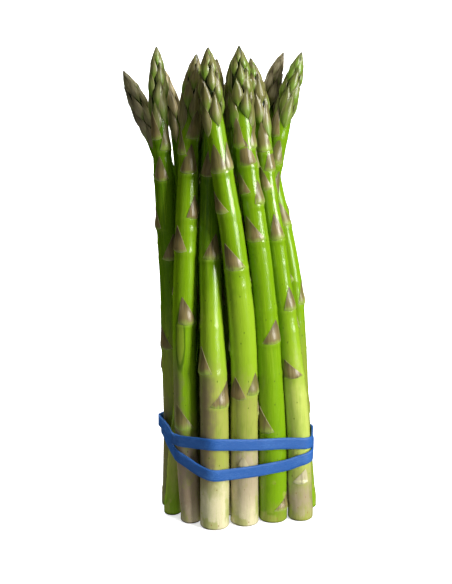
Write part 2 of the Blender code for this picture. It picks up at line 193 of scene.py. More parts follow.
SPEARS = (
    Spear(
        "spear_left",
        ((0, 5.5), (84, 5.1), (118, 4.7), (173, 4.4), (184, 3.8), (188, 3.7)),
        ((0, -33, 9.5), (50, -31, 9), (85, -31, 5.5), (118, -32.5, 2.5), (145, -34, 0.5), (173, -34.5, -1),
         (199, -37, -2), (224.5, -37, -3)),
        ((184, -45, 13, 7.5, 0), (179, 45, 12, 7.5, 0), (165.5, -15, 11, 7.5, 0), (142.5, -75, 11, 7.5, 0),
         (128, 17, 12, 8.5, 2), (83.5, -40, 11, 9, -2)),
        40, 4,
    ),
    Spear(
        "spear_slim_left", ((0, 4.4), (180, 3.2)),
        ((0, -32.4, -1), (50, -29, 0), (90, -23, 3), (120, -22.5, 5), (150, -26, 8), (178, -27, 9.7),
         (191, -27.5, 10.3), (200, -30, 10.8), (209, -33.2, 11.2), (217, -36.3, 11.5)),
        ((120, 90, 11, 6, 0),),
        204, 3,
    ),
    Spear(
        "spear_front_left",
        ((0, 5.0), (47, 5.5), (121, 5.5), (148, 5.1), (163, 4.6), (185, 4.1)),
        ((0, -23.2, -9.6), (47, -25.4, -9), (93, -25.8, -8.5), (121, -25, -8), (148, -23.7, -7.5),
         (183, -22.9, -7), (208, -22.1, -6.5), (221.5, -19.4, -6)),
        ((184.8, 35, 12.5, 8, 0), (177.5, -60, 11, 7.5, 0), (169.5, 5, 12.8, 9, 1), (149, 45, 10.5, 8, 0),
         (133.5, -40, 12, 9, -1), (99.5, 20, 13, 9.5, -3), (48.6, -12, 12, 10.5, -3)),
        300, 4,
    ),
    Spear(
        "spear_front",
        ((0, 7.0), (52, 6.8), (76, 6.5), (91, 5.8), (106, 5.3), (150, 5.0), (162, 4.6), (183, 4.2)),
        ((0, -11.6, -15), (52, -11.5, -15.7), (91, -12.4, -14), (118, -13.2, -12), (150, -14, -7.3),
         (176, -13.5, -3.5), (200, -11.5, 0.5), (219, -10.2, 3)),
        ((167, -10, 12, 8.5, 0), (130, 10, 11.5, 9, 2), (77, -50, 13, 11, -1), (61.2, 38, 12, 13, 4)),
        100, 4,
    ),
    Spear(
        "spear_front_middle",
        ((0, 6.8), (47, 6.6), (79, 6.3), (107, 6.1), (122, 5.8), (140, 5.5), (164, 5.0), (188, 4.4)),
        ((0, 2.9, -11.2), (47, 2.7, -12.1), (79, 3, -13.4), (107, 1, -14.5), (122.5, -0.7, -15),
         (140, -3, -15.2), (164, -6.5, -15.5), (186, -10.7, -16), (206, -14, -16), (224.5, -14.1, -16)),
        ((171.5, 60, 12, 7.5, 0), (171, -20, 12.5, 9.5, 0), (153, -40, 9.8, 8.5, -3), (127, 0, 12.5, 10, -4),
         (65, -32, 10.8, 9.5, -1), (67, 52, 10.5, 9.5, 0), (31.5, -5, 5, 5.5, 0)),
        20, 4,
    ),
    Spear(
        "spear_front_right",
        ((0, 7.0), (46, 6.8), (77, 5.9), (90, 5.8), (121, 5.4), (140, 5.1), (173, 4.7), (189, 4.7)),
        ((0, 16.9, -7), (46, 16.4, -8), (90, 14.8, -8.6), (121, 11.3, -9.5), (140, 8.7, -9.7),
         (158, 6.1, -10), (173, 2.9, -10), (187, 0.6, -10), (205, 0.1, -10), (225, -0.4, -10)),
        ((181.5, -40, 13, 7, 1), (180.5, 70, 12, 7, 0), (173.5, 12, 13, 8.5, -2), (161, -48, 9.8, 8, -1),
         (155.5, 55, 10.5, 8, -1), (139, -18, 12, 10.5, -3), (90.5, 28, 11, 11.5, 2), (47, -40, 12.5, 12, -2),
         (6.5, 50, 8, 12, 4)),
        150, 4,
    ),
    Spear(
        "spear_right",
        ((0, 6.1), (48, 5.6), (77, 5.2), (105, 4.7), (139, 4.3), (158, 3.9), (183, 3.9)),
        ((0, 30, -6), (48, 27.9, -6.4), (76, 24.6, -5.5), (105, 21.6, -4.5), (139, 15.5, -2.9),
         (158, 13.1, -1.8), (178, 11.5, -0.7), (201, 9.3, 0.6), (219.5, 5, 1.6)),
        ((178, 0, 13.4, 8, 0), (169, 45, 12, 7.5, 0), (161, -27, 11, 7.5, -1), (138.5, 12, 11.5, 7.8, 0),
         (104.5, 38, 11, 8, 0), (72.5, 0, 9, 10, -4), (20, 0, 7, 8, 3)),
        260, 4,
    ),
    Spear(
        "spear_far_right",
        ((0, 5.5), (53, 4.9), (96, 4.3), (141, 4.3), (161, 3.9), (185, 3.8)),
        ((0, 33.5, 7), (52, 29.5, 6.5), (96, 28, 8), (108, 27.9, 8.5), (120, 25.7, 9.5), (141, 21.2, 11),
         (161, 15, 13), (185, 11.5, 14.5), (202, 11.4, 14.5), (214, 13.5, 14), (221.5, 18.5, 14)),
        ((141.5, 35, 11, 7.5, -2), (115.5, -30, 8, 6.5, -1), (104, 65, 10.5, 7, 0)),
        330, 3,
    ),
    Spear(
        "spear_leaning_left", ((0, 5.6), (177, 3.9)),
        ((0, -19, 15), (50, -19, 14.5), (110, -21.5, 14), (150, -28, 13.5), (177, -35.9, 13),
         (187.5, -41.3, 12.5), (200, -47.1, 12), (213.5, -53.2, 11)),
        (), 80, 1.5,
    ),
    Spear(
        "spear_leaning_right", ((0, 5.6), (186, 4.0)),
        ((0, 5, 1.5), (50, 4.5, 1), (110, 6.5, 2), (163, 14.6, 4.5), (182, 16.9, 5.6), (191.6, 19.8, 5.7),
         (203, 22.6, 5.8), (213, 24.2, 6), (222, 27.6, 6)),
        ((184, -50, 12, 7, 0), (172, 0, 12, 7.5, 0), (157, 40, 12, 7, 0)),
        10, 2,
    ),
    Spear(
        "spear_middle", ((0, 5.4), (186, 3.9)),
        ((0, -8, -2), (50, -8, -2.5), (110, -5, -2), (160, -2.5, 0), (208, -3.8, 1.3), (222.5, -1.6, 1)),
        (), 190, 1.5,
    ),
    Spear(
        "spear_inner_right", ((0, 6.0), (175, 4.2)),
        ((0, 17, 6), (50, 16.5, 5.5), (110, 14, 6), (160, 3, 9), (211, 1, 12)), (), 70, 1,
    ),
    Spear(
        "spear_inner_left", ((0, 5.6), (174, 4.0)),
        ((0, -20.5, 3), (50, -19.5, 3), (90, -15, 4.5), (120, -15, 5.5), (160, -19, 6.5), (210, -22, 7)),
        (), 0, 1,
    ),
    Spear(
        "spear_back_middle", ((0, 6.2), (176, 4.3)),
        ((0, -4.5, 10.5), (50, -4.5, 10.5), (110, -4.5, 10.5), (160, -11, 9), (212, -14.5, 10)), (), 120, 1,
    ),
    Spear(
        "spear_back_right", ((0, 6.0), (172, 4.1)),
        ((0, 9, 15), (50, 9, 14.5), (110, 2, 14), (160, -5, 15), (208, -6, 17)), (), 240, 1,
    ),
    Spear(
        "spear_far_back", ((0, 5.6), (173, 4.0)),
        ((0, 22.5, 18), (50, 21.5, 16.5), (110, 15, 16), (160, 8, 18), (209, 5, 20)), (), 310, 1,
    ),
)

# Height of the band's middle at bearings from the bundle's middle, for its first turn and then its second
BAND_TURN_ONE = (
    (-101, 44.8), (-74, 45.2), (-59, 42.6), (-15, 44.2), (38, 42.2), (63, 41.5), (78, 39.7), (100, 39.4),
    (180, 39), (225, 40), (259, 41),
)
BAND_TURN_TWO = (
    (-101, 41), (-74, 36.8), (-57, 34.6), (-46, 32.6), (-33, 30.1), (-14, 28.4), (38, 28.9), (52, 29.6),
    (64, 30.3), (70, 32.2), (78, 33.5), (100, 33.8), (180, 36), (225, 42.5), (259, 44.8),
)
BAND_RAMPS = ((-72, -52), (118, 142))
BAND_LIFT_OVER = 1.3
BAND_CLEARANCE = 0.25
BAND_SECTIONS = 180
BAND_EDGE = 0.25
BAND_TRIES = 4
BAND_START = -90
BAND_EVENING = 8
BAND_SHARP_ANGLE = 60

SEEN = ("spear_left", "spear_slim_left", "spear_front_left", "spear_front", "spear_front_middle",
        "spear_front_right", "spear_right", "spear_far_right")

# Colours of the spears, in linear light
FOOT_CREAM = (0.66, 0.61, 0.38)
FOOT_TAUPE = (0.50, 0.42, 0.28)
FOOT_LILAC = (0.33, 0.25, 0.17)
PALE_LIME = (0.46, 0.54, 0.11)
PALE_GREEN = (0.34, 0.37, 0.075)
LOW_OLIVE = (0.235, 0.29, 0.035)
VIVID_GREEN = (0.17, 0.33, 0.004)
DEEP_GREEN = (0.10, 0.225, 0.004)
# Painted shade: a darker green high on spear_front, where it lies in the shade of the spears around it
PAINTED_SHADE_GREEN = (0.06, 0.15, 0.004)
LIGHT_GREEN = (0.265, 0.43, 0.018)
DARK_VEIN = (0.06, 0.12, 0.006)
BROWN_GREY = (0.23, 0.175, 0.10)
SPECK_BROWN = (0.30, 0.17, 0.05)
SCALE_BROWN = (0.205, 0.160, 0.055)
LIGHT_BROWN = (0.33, 0.28, 0.14)
# A paler head brown: on spear_far_right it is painted light, lighter to stand in for the light that falls on
# that head; on spear_leaning_left it is the head's own paler brown
LIT_PALE_BROWN = (0.41, 0.36, 0.21)
STRAW = (0.64, 0.52, 0.27)

# The patterns of a spear's skin: how fine each is round it and up it, its detail and its roughness
SKIN_NOISE = {
    "streaks": ((1.5, 1.5, 0.05), 3.0, 0.6),
    "veins": ((3.2, 3.2, 0.12), 2.0, 0.6),
    "blotches": ((0.12, 0.12, 0.05), 3.0, 0.55),
    "cloud": ((0.35, 0.35, 0.2), 4.0, 0.6),
    "grain": ((3.0, 3.0, 1.4), 2.0, 0.6),
    "patches": ((0.22, 0.22, 0.12), 3.0, 0.5),
    "ribs": ((0.9, 0.9, 0.06), 3.0, 0.6),
}
SPECK_FINENESS = (0.33, 0.33, 0.2)
FIBRE_FINENESS = (1.1, 1.1, 1.1)

# Heights between which the marks of the foot and the cream of its scales fade
FOOT_FADE = (6, 38)
FOOT_SCALE_FADE = (46, 32)

# Depths of the bumps in metres, and the refractive index of the rubber
SKIN_BUMP = 0.00025
RUBBER_BUMP = 0.0003
RUBBER_SHINE = 1.5


class Skin(NamedTuple):
    """The finish of a spear: its colours at heights up the stem, how brown its scales are, and any blush.

    A blush is a brown tint: (lowest z, highest z, bearing, strength). The scales of the head have a brown of
    their own. A scar is a long healed nick: (z, bearing, half its length, half its width). Shine is the
    refractive index.
    """

    stops: tuple
    taupe: float
    blush: tuple = (0, 1, 0, 0.0)
    head: tuple = SCALE_BROWN
    scar: tuple = ()
    shine: float = 1.62


SKINS = {
    "spear_left": Skin(((0, DEEP_GREEN), (35, LOW_OLIVE), (75, LOW_OLIVE), (110, DEEP_GREEN)), 0.42,
                       (0, 60, -80, 0.7), head=LIGHT_BROWN),
    "spear_slim_left": Skin(((0, VIVID_GREEN), (30, PALE_GREEN), (60, VIVID_GREEN)), 1.0, head=STRAW),
    "spear_front_left": Skin(((0, FOOT_TAUPE), (12, FOOT_LILAC), (36, FOOT_LILAC), (47, LOW_OLIVE),
                              (60, VIVID_GREEN)), 0.75, (34, 80, -80, 0.75), scar=(92, -20, 14, 2.3)),
    # Its highest stop is painted shade: darker green where the top of this stem lies in the shade of its
    # neighbours
    "spear_front": Skin(((0, FOOT_CREAM), (14, FOOT_CREAM), (32, PALE_GREEN), (66, PALE_GREEN),
                         (84, LIGHT_GREEN), (104, LIGHT_GREEN), (118, VIVID_GREEN), (148, PAINTED_SHADE_GREEN)),
                        0.75, (22, 80, -60, 0.85)),
    "spear_front_middle": Skin(((0, FOOT_CREAM), (16, FOOT_TAUPE), (34, FOOT_TAUPE), (44, PALE_GREEN),
                                (64, PALE_GREEN), (80, LIGHT_GREEN), (112, LIGHT_GREEN), (130, VIVID_GREEN)),
                               0.6, (18, 34, 20, 0.3)),
    "spear_front_right": Skin(((0, LOW_OLIVE), (12, VIVID_GREEN)), 0.45),
    "spear_right": Skin(((0, PALE_GREEN), (10, FOOT_TAUPE), (25, PALE_LIME), (62, PALE_LIME),
                         (84, LIGHT_GREEN), (112, VIVID_GREEN)), 0.65, (6, 26, 30, 0.5)),
    # Its head brown is painted light: lighter to stand in for the light that falls on this head
    "spear_far_right": Skin(((0, VIVID_GREEN), (30, LOW_OLIVE), (70, LOW_OLIVE), (100, VIVID_GREEN)), 1.0,
                            head=LIT_PALE_BROWN, shine=1.4),
    "spear_leaning_left": Skin(((0, FOOT_CREAM), (30, LOW_OLIVE), (80, DEEP_GREEN)), 0.9, head=LIT_PALE_BROWN),
    "spear_leaning_right": Skin(((0, FOOT_CREAM), (25, PALE_GREEN), (70, VIVID_GREEN)), 0.22),
    "spear_middle": Skin(((0, FOOT_CREAM), (25, LOW_OLIVE), (70, VIVID_GREEN)), 0.6),
    "spear_inner_right": Skin(((0, LOW_OLIVE), (60, VIVID_GREEN)), 0.5),
    "spear_inner_left": Skin(((0, BROWN_GREY), (40, LOW_OLIVE), (80, DEEP_GREEN)), 0.6),
    "spear_back_middle": Skin(((0, FOOT_CREAM), (20, PALE_GREEN), (60, VIVID_GREEN)), 0.55,
                              (15, 60, 160, 0.6)),
    "spear_back_right": Skin(((0, LOW_OLIVE), (15, VIVID_GREEN)), 0.5),
    "spear_far_back": Skin(((0, BROWN_GREY), (30, PALE_GREEN), (70, VIVID_GREEN)), 0.65, (5, 40, 170, 0.6)),
}


def levels():
    """The heights at which the bundle is laid out."""
    return np.arange(0.0, TOP_LEVEL + LEVEL_STEP, LEVEL_STEP)


def radius_at(spear, z):
    """A spear's radius at heights z, head scales aside; nothing above its tip."""
    z = np.asarray(z, dtype=float)
    below_tip = spear.tip - z
    heights, radii = zip(*spear.girth)
    stem = np.interp(z, heights, radii)
    distances, shares = zip(*HEAD_OUTLINE)
    head = radii[-1] * np.interp(below_tip, distances, shares)
    return np.where(below_tip < 0, 0.0, np.where(below_tip < HEAD_LENGTH, head, stem))


def even_out(runs):
    """Evens out each run along its height; its two ends stay."""
    runs[:, 1:-1] = (runs[:, :-2] + 2 * runs[:, 1:-1] + runs[:, 2:]) / 4


def part_neighbours(runs, radii, holds):
    """Moves two spears apart wherever they come closer than CORE_GAP; the firmer of them moves less."""
    for first in range(len(SPEARS)):
        for second in range(first + 1, len(SPEARS)):
            apart = runs[second] - runs[first]
            distance = np.maximum(np.linalg.norm(apart, axis=1), 0.01)
            both = (radii[first] > 0) & (radii[second] > 0)
            short = np.where(both, radii[first] + radii[second] + CORE_GAP - distance, 0.0).clip(0.0)
            push = apart * (short / distance)[:, None]
            share = holds[second] / (holds[first] + holds[second])
            runs[first] -= push * share
            runs[second] += push * (1 - share)


def plan_runs():
    """Where the middle of each spear is at every level, once the spears have settled against each other."""
    heights = levels()
    wanted = np.empty((len(SPEARS), len(heights), 2))
    for place, spear in enumerate(SPEARS):
        run = np.array(spear.run, dtype=float)
        beyond = run[-1] + (run[-1] - run[-2]) * PAST_THE_TIP
        z, x, y = np.vstack([run, beyond]).T
        wanted[place, :, 0] = np.interp(heights, z, x)
        wanted[place, :, 1] = np.interp(heights, z, y)
    for _ in range(EVENING_ROUNDS):
        even_out(wanted)
    slopes = np.gradient(wanted, LEVEL_STEP, axis=1)
    leans = np.sqrt(1 + (slopes**2).sum(axis=2))
    radii = [radius_at(spear, heights) * lean for spear, lean in zip(SPEARS, leans)]
    holds = [spear.hold for spear in SPEARS]
    runs = wanted.copy()
    for step in range(SETTLE_ROUNDS):
        if step < PULLED_ROUNDS:
            runs += (wanted - runs) * PULL_BACK
            even_out(runs)
        elif step % LATE_EVENING_STEP == 0:
            even_out(runs)
        part_neighbours(runs, radii, holds)
    runs[:, 1] = runs[:, 0]
    return runs - np.array(MIDDLE)


def smooth_step(value, low=0.0, high=1.0):
    """Rises smoothly from 0 at low to 1 at high."""
    share = np.clip((value - low) / (high - low), 0.0, 1.0)
    return share * share * (3 - 2 * share)


def curve_through(values, step, z):
    """A smooth curve at heights z, through values that are spaced evenly from height 0."""
    place = np.clip(z / step, 0, len(values) - 1.001)
    low = place.astype(int)
    share = (place - low)[..., None]
    before, after = np.maximum(low - 1, 0), np.minimum(low + 2, len(values) - 1)
    a, b, c, d = values[before], values[low], values[low + 1], values[after]
    return b + share / 2 * (c - a + share * (2 * a - 5 * b + 4 * c - d + share * (3 * (b - c) + d - a)))


class Core:
    """A spear to build on: the smooth line of its middle, its girth, and its directions at any height."""

    def __init__(self, runs, place):
        self.spear = SPEARS[place]
        self.run = runs[place]
        self.grid = np.arange(0.0, self.spear.tip + GIRTH_STEP, GIRTH_STEP)
        radii = radius_at(self.spear, np.minimum(self.grid, self.spear.tip))
        reach = int(3 * GIRTH_SMOOTHING / GIRTH_STEP)
        kernel = np.exp(-0.5 * (np.arange(-reach, reach + 1) * GIRTH_STEP / GIRTH_SMOOTHING) ** 2)
        padded = np.pad(radii, reach, mode="edge")
        soft = np.convolve(padded, kernel / kernel.sum(), mode="valid")
        keep = smooth_step(self.grid, *(self.spear.tip - below for below in KEPT_BELOW_TIP))
        self.outline = soft * (1 - keep) + radii * keep
        below = self.spear.tip - self.grid
        thinner = smooth_step(-below, -HEAD_LENGTH, -HEAD_LENGTH + HEAD_CORE_REACH)
        self.core = self.outline * (1 - (1 - HEAD_CORE_SHARE) * thinner)

    def middle(self, z):
        """The middle at heights z, as points."""
        plan = curve_through(self.run, LEVEL_STEP, np.asarray(z, dtype=float))
        return np.concatenate([plan, np.asarray(z, dtype=float)[..., None]], axis=-1)

    def radius(self, z):
        """The radius of the bare core."""
        return np.interp(z, self.grid, self.core)

    def directions(self, z):
        """Unit directions to the front and to the right, square to the spear at heights z."""
        z = np.asarray(z, dtype=float)
        along = self.middle(z + 1) - self.middle(z - 1)
        right = np.cross(along, (0.0, -1.0, 0.0))
        right /= np.linalg.norm(right, axis=-1, keepdims=True)
        front = np.cross(right, along)
        front /= np.linalg.norm(front, axis=-1, keepdims=True)
        return front, right

    def points(self, z, angle, offset):
        """Points at heights z, at angles round the spear in radians, and at offsets from the bare core."""
        front, right = self.directions(z)
        outward = front * np.cos(angle)[..., None] + right * np.sin(angle)[..., None]
        reach = self.radius(np.minimum(z, self.spear.tip)) + offset
        return self.middle(z) + outward * reach[..., None]


# The spears as they have settled, which main fills in
CORES = []


def outer_distance(core, points, z):
    """How far points are outside the outline of a spear at heights z."""
    away = np.linalg.norm((points - core.middle(z))[..., :2], axis=-1)
    return away - np.interp(z, core.grid, core.outline)


def pressed(cores, core, z, angle, offset):
    """Points as Core.points gives them, with offsets eased where neighbours crowd them."""
    offset = np.array(offset, dtype=float)
    points = core.points(z, angle, offset)
    near = [other for other in cores if other is not core]
    for _ in range(PRESS_ROUNDS):
        height = points[..., 2]
        own = outer_distance(core, points, height)
        excess = np.zeros_like(own)
        for other in near:
            at = np.minimum(height, other.spear.tip)
            crowd = own - outer_distance(other, points, at) + CELL_GAP
            excess = np.maximum(excess, np.where(height < other.spear.tip + CLEAR_OF_TIP, crowd, 0.0))
        excess[offset < DEEPEST_PRESS] = 0.0
        if excess.max() <= 0:
            break
        offset -= excess / 2
        points = core.points(z, angle, offset)
    return points


class Build:
    """The points, faces and marks of a mesh that is put together from grids."""

    MARKS = ("leaf", "bud", "rise", "across", "chance", "ring", "cut")

    def __init__(self):
        self.points, self.faces, self.marks, self.skin = [], [], [], []
        self.count = 0

    def add(self, points, faces, skin, **marks):
        """Adds points, faces that count from the first of them, and one value or array for each mark."""
        table = np.zeros((len(points), len(self.MARKS)))
        for name, value in marks.items():
            table[:, self.MARKS.index(name)] = value
        self.points.append(points)
        self.faces.extend([tuple(corner + self.count for corner in face) for face in faces])
        self.marks.append(table)
        self.skin.append(skin)
        self.count += len(points)

    def object(self, name):
        """The finished object, with its marks as attributes of its points."""
        mesh = bpy.data.meshes.new(name)
        mesh.from_pydata(np.concatenate(self.points) * MM, [], self.faces)
        table = np.concatenate(self.marks).astype(np.float32)
        for column, mark in enumerate(self.MARKS):
            mesh.attributes.new(mark, "FLOAT", "POINT").data.foreach_set("value", table[:, column].copy())
        skin = np.concatenate(self.skin).astype(np.float32)
        mesh.attributes.new("skin", "FLOAT_VECTOR", "POINT").data.foreach_set("vector", skin.ravel())
        mesh.shade_smooth()
        mesh.set_sharp_from_angle(angle=math.radians(SHARP_ANGLE))
        item = bpy.data.objects.new(name, mesh)
        bpy.context.scene.collection.objects.link(item)
        return item


def grid_faces(rows, columns, closed=False):
    """Faces between the points of a grid that is laid out row by row."""
    faces = []
    for low in range(0, (rows - 1) * columns, columns):
        for column in range(columns if closed else columns - 1):
            after = (column + 1) % columns
            faces.append((low + column, low + after, low + columns + after, low + columns + column))
    return faces


def flat_skin(core, z, angle):
    """Places on the straightened spear: round it and up it, so that a pattern follows the stem."""
    radius = np.interp(z, core.grid, core.outline)
    return np.stack([radius * np.cos(angle), radius * np.sin(angle), z], axis=-1)


def add_stem(build, core, scales, rng):
    """The stem as a fine tube: rounded at its cut foot, slightly uneven, with a low ring under each scale."""
    tip = core.spear.tip
    foot, inset = zip(*FOOT_RINGS)
    first, second = LOWEST_STATIONS
    stations = np.arange(second, tip - TIP_RINGS[0], STATION_STEP)
    z = np.array([*foot, first, *stations, *(tip - below for below in TIP_RINGS)])
    angle = np.arange(STEM_SIDES) * 2 * math.pi / STEM_SIDES
    heights, angles = np.meshgrid(z, angle, indexing="ij")
    phase = rng.uniform(0, 2 * math.pi, len(STEM_LOBES) + len(STEM_SWELLS))
    waves = [(np.cos, *lobe) for lobe in STEM_LOBES] + [(np.sin, *swell) for swell in STEM_SWELLS]
    uneven = sum(depth * wave(times * angles + turn + heights / twist)
                 for (wave, times, depth, twist), turn in zip(waves, phase))
    relief = uneven * core.radius(heights)
    ring = np.zeros_like(relief)
    for height, bearing, *_ in scales:
        near = np.exp(-(((heights - height + NODE_DROP) / NODE_WIDTH) ** 2))
        facing = 0.5 + 0.5 * np.cos(angles - math.radians(bearing))
        ring = np.maximum(ring, near * (NODE_AT_BACK + (1 - NODE_AT_BACK) * facing**2))
    rise = bpy.context.scene.asparagus_spears.node_rise / MM
    low, high = BAND_ZONE
    flat = smooth_step(heights, low, low + BAND_ZONE_EASE)
    flat *= smooth_step(-heights, -high, -high + BAND_ZONE_EASE)
    relief += ring * rise * (1 - flat)
    relief += np.interp(z, foot, inset)[:, None]
    points = pressed(CORES, core, heights, angles, relief)
    points[0, :, 2] = 0.0
    skin = flat_skin(core, heights, angles)
    # On the stem the bud mark also masks the painted shade that skin_finish puts between the head's scales
    build.add(points.reshape(-1, 3), grid_faces(len(z), STEM_SIDES, closed=True), skin.reshape(-1, 3),
              ring=ring.ravel(), cut=smooth_step(-heights, -0.35, 0.0).ravel(),
              bud=smooth_step(heights, tip - HEAD_LENGTH + 2, tip - HEAD_LENGTH + 16).ravel())
    peak = core.middle(np.array([tip]))
    crown = [(place, (place + 1) % STEM_SIDES, STEM_SIDES) for place in range(STEM_SIDES)]
    top = np.concatenate([points[-1], peak])
    build.add(top, crown, np.concatenate([skin[-1], [[0, 0, tip]]]), bud=1.0)
    add_foot(build, core, points[0], skin[0])


def add_foot(build, core, rim, rim_skin):
    """The cut end: a shallow dish inside the rim."""
    middle = core.middle(np.array([0.0]))[0]
    rows, skins = [], []
    for share in CUT_SHARES:
        row = middle + (rim - middle) * share
        row[:, 2] = CUT_DISH * (1 - share) ** 0.5
        rows.append(row)
        skins.append(np.column_stack([rim_skin[:, :2] * share, np.zeros(len(rim))]))
    points = np.concatenate(rows + [[middle + (0, 0, CUT_DISH)]])
    faces = grid_faces(len(rows), len(rim), closed=True)
    centre = len(rows) * len(rim)
    last = centre - len(rim)
    faces += [(centre, last + place, last + (place + 1) % len(rim)) for place in range(len(rim))]
    build.add(points, faces, np.concatenate(skins + [[[0, 0, 0]]]), cut=1.0)


class Field:
    """How far the scales laid so far stand out from a spear's core, at heights and angles round it."""

    def __init__(self, core):
        self.low = core.spear.tip - HEAD_LENGTH - 20
        self.rows = int((core.spear.tip - self.low) / FIELD_STEP) + 8
        self.height = np.zeros((self.rows, FIELD_SIDES))

    def read(self, z, angle):
        """The height of the field at places on the spear."""
        row = np.clip((z - self.low) / FIELD_STEP, 0, self.rows - 1.001)
        column = (angle / (2 * math.pi) * FIELD_SIDES) % FIELD_SIDES
        r, c = row.astype(int), column.astype(int)
        fr, fc = row - r, column - c
        c0, c1 = c % FIELD_SIDES, (c + 1) % FIELD_SIDES
        low = self.height[r, c0] * (1 - fc) + self.height[r, c1] * fc
        high = self.height[r + 1, c0] * (1 - fc) + self.height[r + 1, c1] * fc
        return low * (1 - fr) + high * fr

    def raise_to(self, z, angle, offset):
        """Raises the field to a scale's outer face, given on a fine grid of places."""
        row = np.clip(np.rint((z - self.low) / FIELD_STEP).astype(int), 0, self.rows - 1)
        column = np.rint(angle / (2 * math.pi) * FIELD_SIDES).astype(int) % FIELD_SIDES
        np.maximum.at(self.height, (row, column), offset)


def finer(table):
    """A table with values between its own, three times as fine."""
    rows, columns = (np.linspace(0, size - 1, (size - 1) * 3 + 1) for size in table.shape)
    tall = np.array([np.interp(rows, np.arange(table.shape[0]), line) for line in table.T])
    return np.array([np.interp(columns, np.arange(table.shape[1]), line) for line in tall.T])


def leaf_faces(rows, columns):
    """Faces of a leaf whose front and back are grids, with a rim between them."""
    count = rows * columns
    faces = grid_faces(rows, columns)
    faces += [tuple(corner + count for corner in face[::-1]) for face in faces]
    rim = [*range(columns)]
    rim += [row * columns + columns - 1 for row in range(1, rows)]
    rim += [(rows - 1) * columns + column for column in range(columns - 2, -1, -1)]
    rim += [row * columns for row in range(rows - 2, 0, -1)]
    faces += [(after, corner, corner + count, after + count) for corner, after in zip(rim, rim[1:] + rim[:1])]
    return faces


def leaf_width(rise, head):
    """Half-width of a scale up its length, as a share of its widest: a drop on the head, else a triangle."""
    if head:
        low = 0.16 + 0.84 * np.sin(np.clip(rise / BUD_WIDEST, 0, 1) * math.pi / 2)
        high = 1 - np.clip((rise - BUD_WIDEST) / (1 - BUD_WIDEST), 0, 1) ** 1.3
        return np.minimum(low, high)
    return np.clip(1 - rise, 0, 1) ** 0.82


def add_scale(build, core, z, bearing, length, width, lean, head, field, chance):
    """One scale: a curved leaf with some thickness, rounded at its root, that lies on the scales above it."""
    look = bpy.context.scene.asparagus_spears
    rows, columns = BUD_GRID if head else SCALE_GRID
    rise, across = np.meshgrid(np.linspace(0, 1, rows) ** 1.1, np.linspace(-1, 1, columns), indexing="ij")
    crown = 1 - across**2
    half = np.maximum(leaf_width(rise, head), 0.03) * width / 2
    droop = BUD_DROOP * (1 - np.abs(across)) if head else SCALE_DROOP * crown
    heights = z + length * rise - droop * (1 - rise) ** 3
    base_radius = float(np.interp(z, core.grid, core.outline))
    angles = math.radians(bearing) + (across * half + lean * rise) / base_radius
    root = smooth_step(rise, 0.0, BUD_ROOT if head else SCALE_ROOT)
    if head:
        room = np.interp(heights, core.grid, core.outline) - np.interp(heights, core.grid, core.core)
        plump = look.bud_rise / MM * base_radius / 5 * (0.4 + 0.6 * smooth_step(core.spear.tip - z, 6, 26))
        hump = smooth_step(rise, 0.0, 0.3) * (1 - 0.45 * smooth_step(rise, 0.35, 1.0))
        domed = BUD_EDGE + (1 - BUD_EDGE) * crown**0.7
        flare = look.bud_flare / MM * chance * smooth_step(rise, 0.6, 1.0) * crown
        free = 0.18 + (room * domed + plump * crown) * hump + flare
        free *= np.clip((core.spear.tip + 0.3 - heights) / APEX, 0.03, 1) ** 0.6
    else:
        hump = np.exp(-(((rise - 0.2) / 0.25) ** 2))
        free = 0.2 + look.leaf_rise / MM * crown * hump + 0.15 * (1 - rise)
    if field is not None:
        under = field.read(heights, angles)
        for _ in range(2):
            under[1:-1] = (under[:-2] + under[1:-1] + under[2:]) / 3
            under[:, 1:-1] = (under[:, :-2] + under[:, 1:-1] + under[:, 2:]) / 3
        over = np.clip((core.spear.tip + 0.3 - heights) / APEX, 0.1, 1)
        free = np.maximum(free, under + SCALE_OVERLAP * over)
        free[1:-1] = (free[:-2] + 2 * free[1:-1] + free[2:]) / 4
    in_band = (heights > BAND_ZONE[0]) & (heights < BAND_ZONE[1] - BAND_ZONE_EASE) & (not head)
    free = np.where(in_band, np.minimum(free, FLAT_UNDER_BAND), free)
    front_offset = free * root - ROOT_DEPTH * (1 - root)
    back_offset = np.maximum(front_offset - look.leaf_thickness / MM, -BACK_DEPTH)
    if field is not None:
        field.raise_to(finer(heights), finer(angles), finer(front_offset))
    front = pressed(CORES, core, heights, angles, front_offset)
    back = pressed(CORES, core, heights, angles, back_offset)
    points = np.concatenate([front.reshape(-1, 3), back.reshape(-1, 3)])
    skin = np.tile(flat_skin(core, heights, angles).reshape(-1, 3), (2, 1))
    rise, across = (np.tile(mark.ravel(), 2) for mark in (rise, across))
    build.add(points, leaf_faces(rows, columns), skin, leaf=1.0, bud=float(head), rise=rise, across=across,
              chance=chance)


def stem_scales(place, rng):
    """The stem scales of a spear: the ones that the front shows, and the rest by rule, clear of the band."""
    spear = SPEARS[place]
    places = list(spear.scales)
    seen = bool(places)
    step = BACK_SCALE_STEP if seen else HIDDEN_SCALE_STEP
    height = LOWEST_RULE_SCALE + step * (place * GOLDEN_SHARE % 1.0)
    turn = spear.turn
    while height < spear.tip - HEAD_LENGTH - STEM_SCALE_LENGTH / 2:
        turn += SPIRAL_STEP
        bearing = 180 + BACK_SPREAD * math.sin(math.radians(turn)) if seen else turn
        if not BAND_ZONE[0] - STEM_SCALE_LENGTH < height < BAND_ZONE[1]:
            length = rng.uniform(*STEM_SCALE_LENGTHS)
            width = STEM_SCALE_WIDTH * float(radius_at(spear, height))
            places.append((height, bearing, length, width, rng.uniform(*STEM_SCALE_LEANS)))
        height += step
    return places


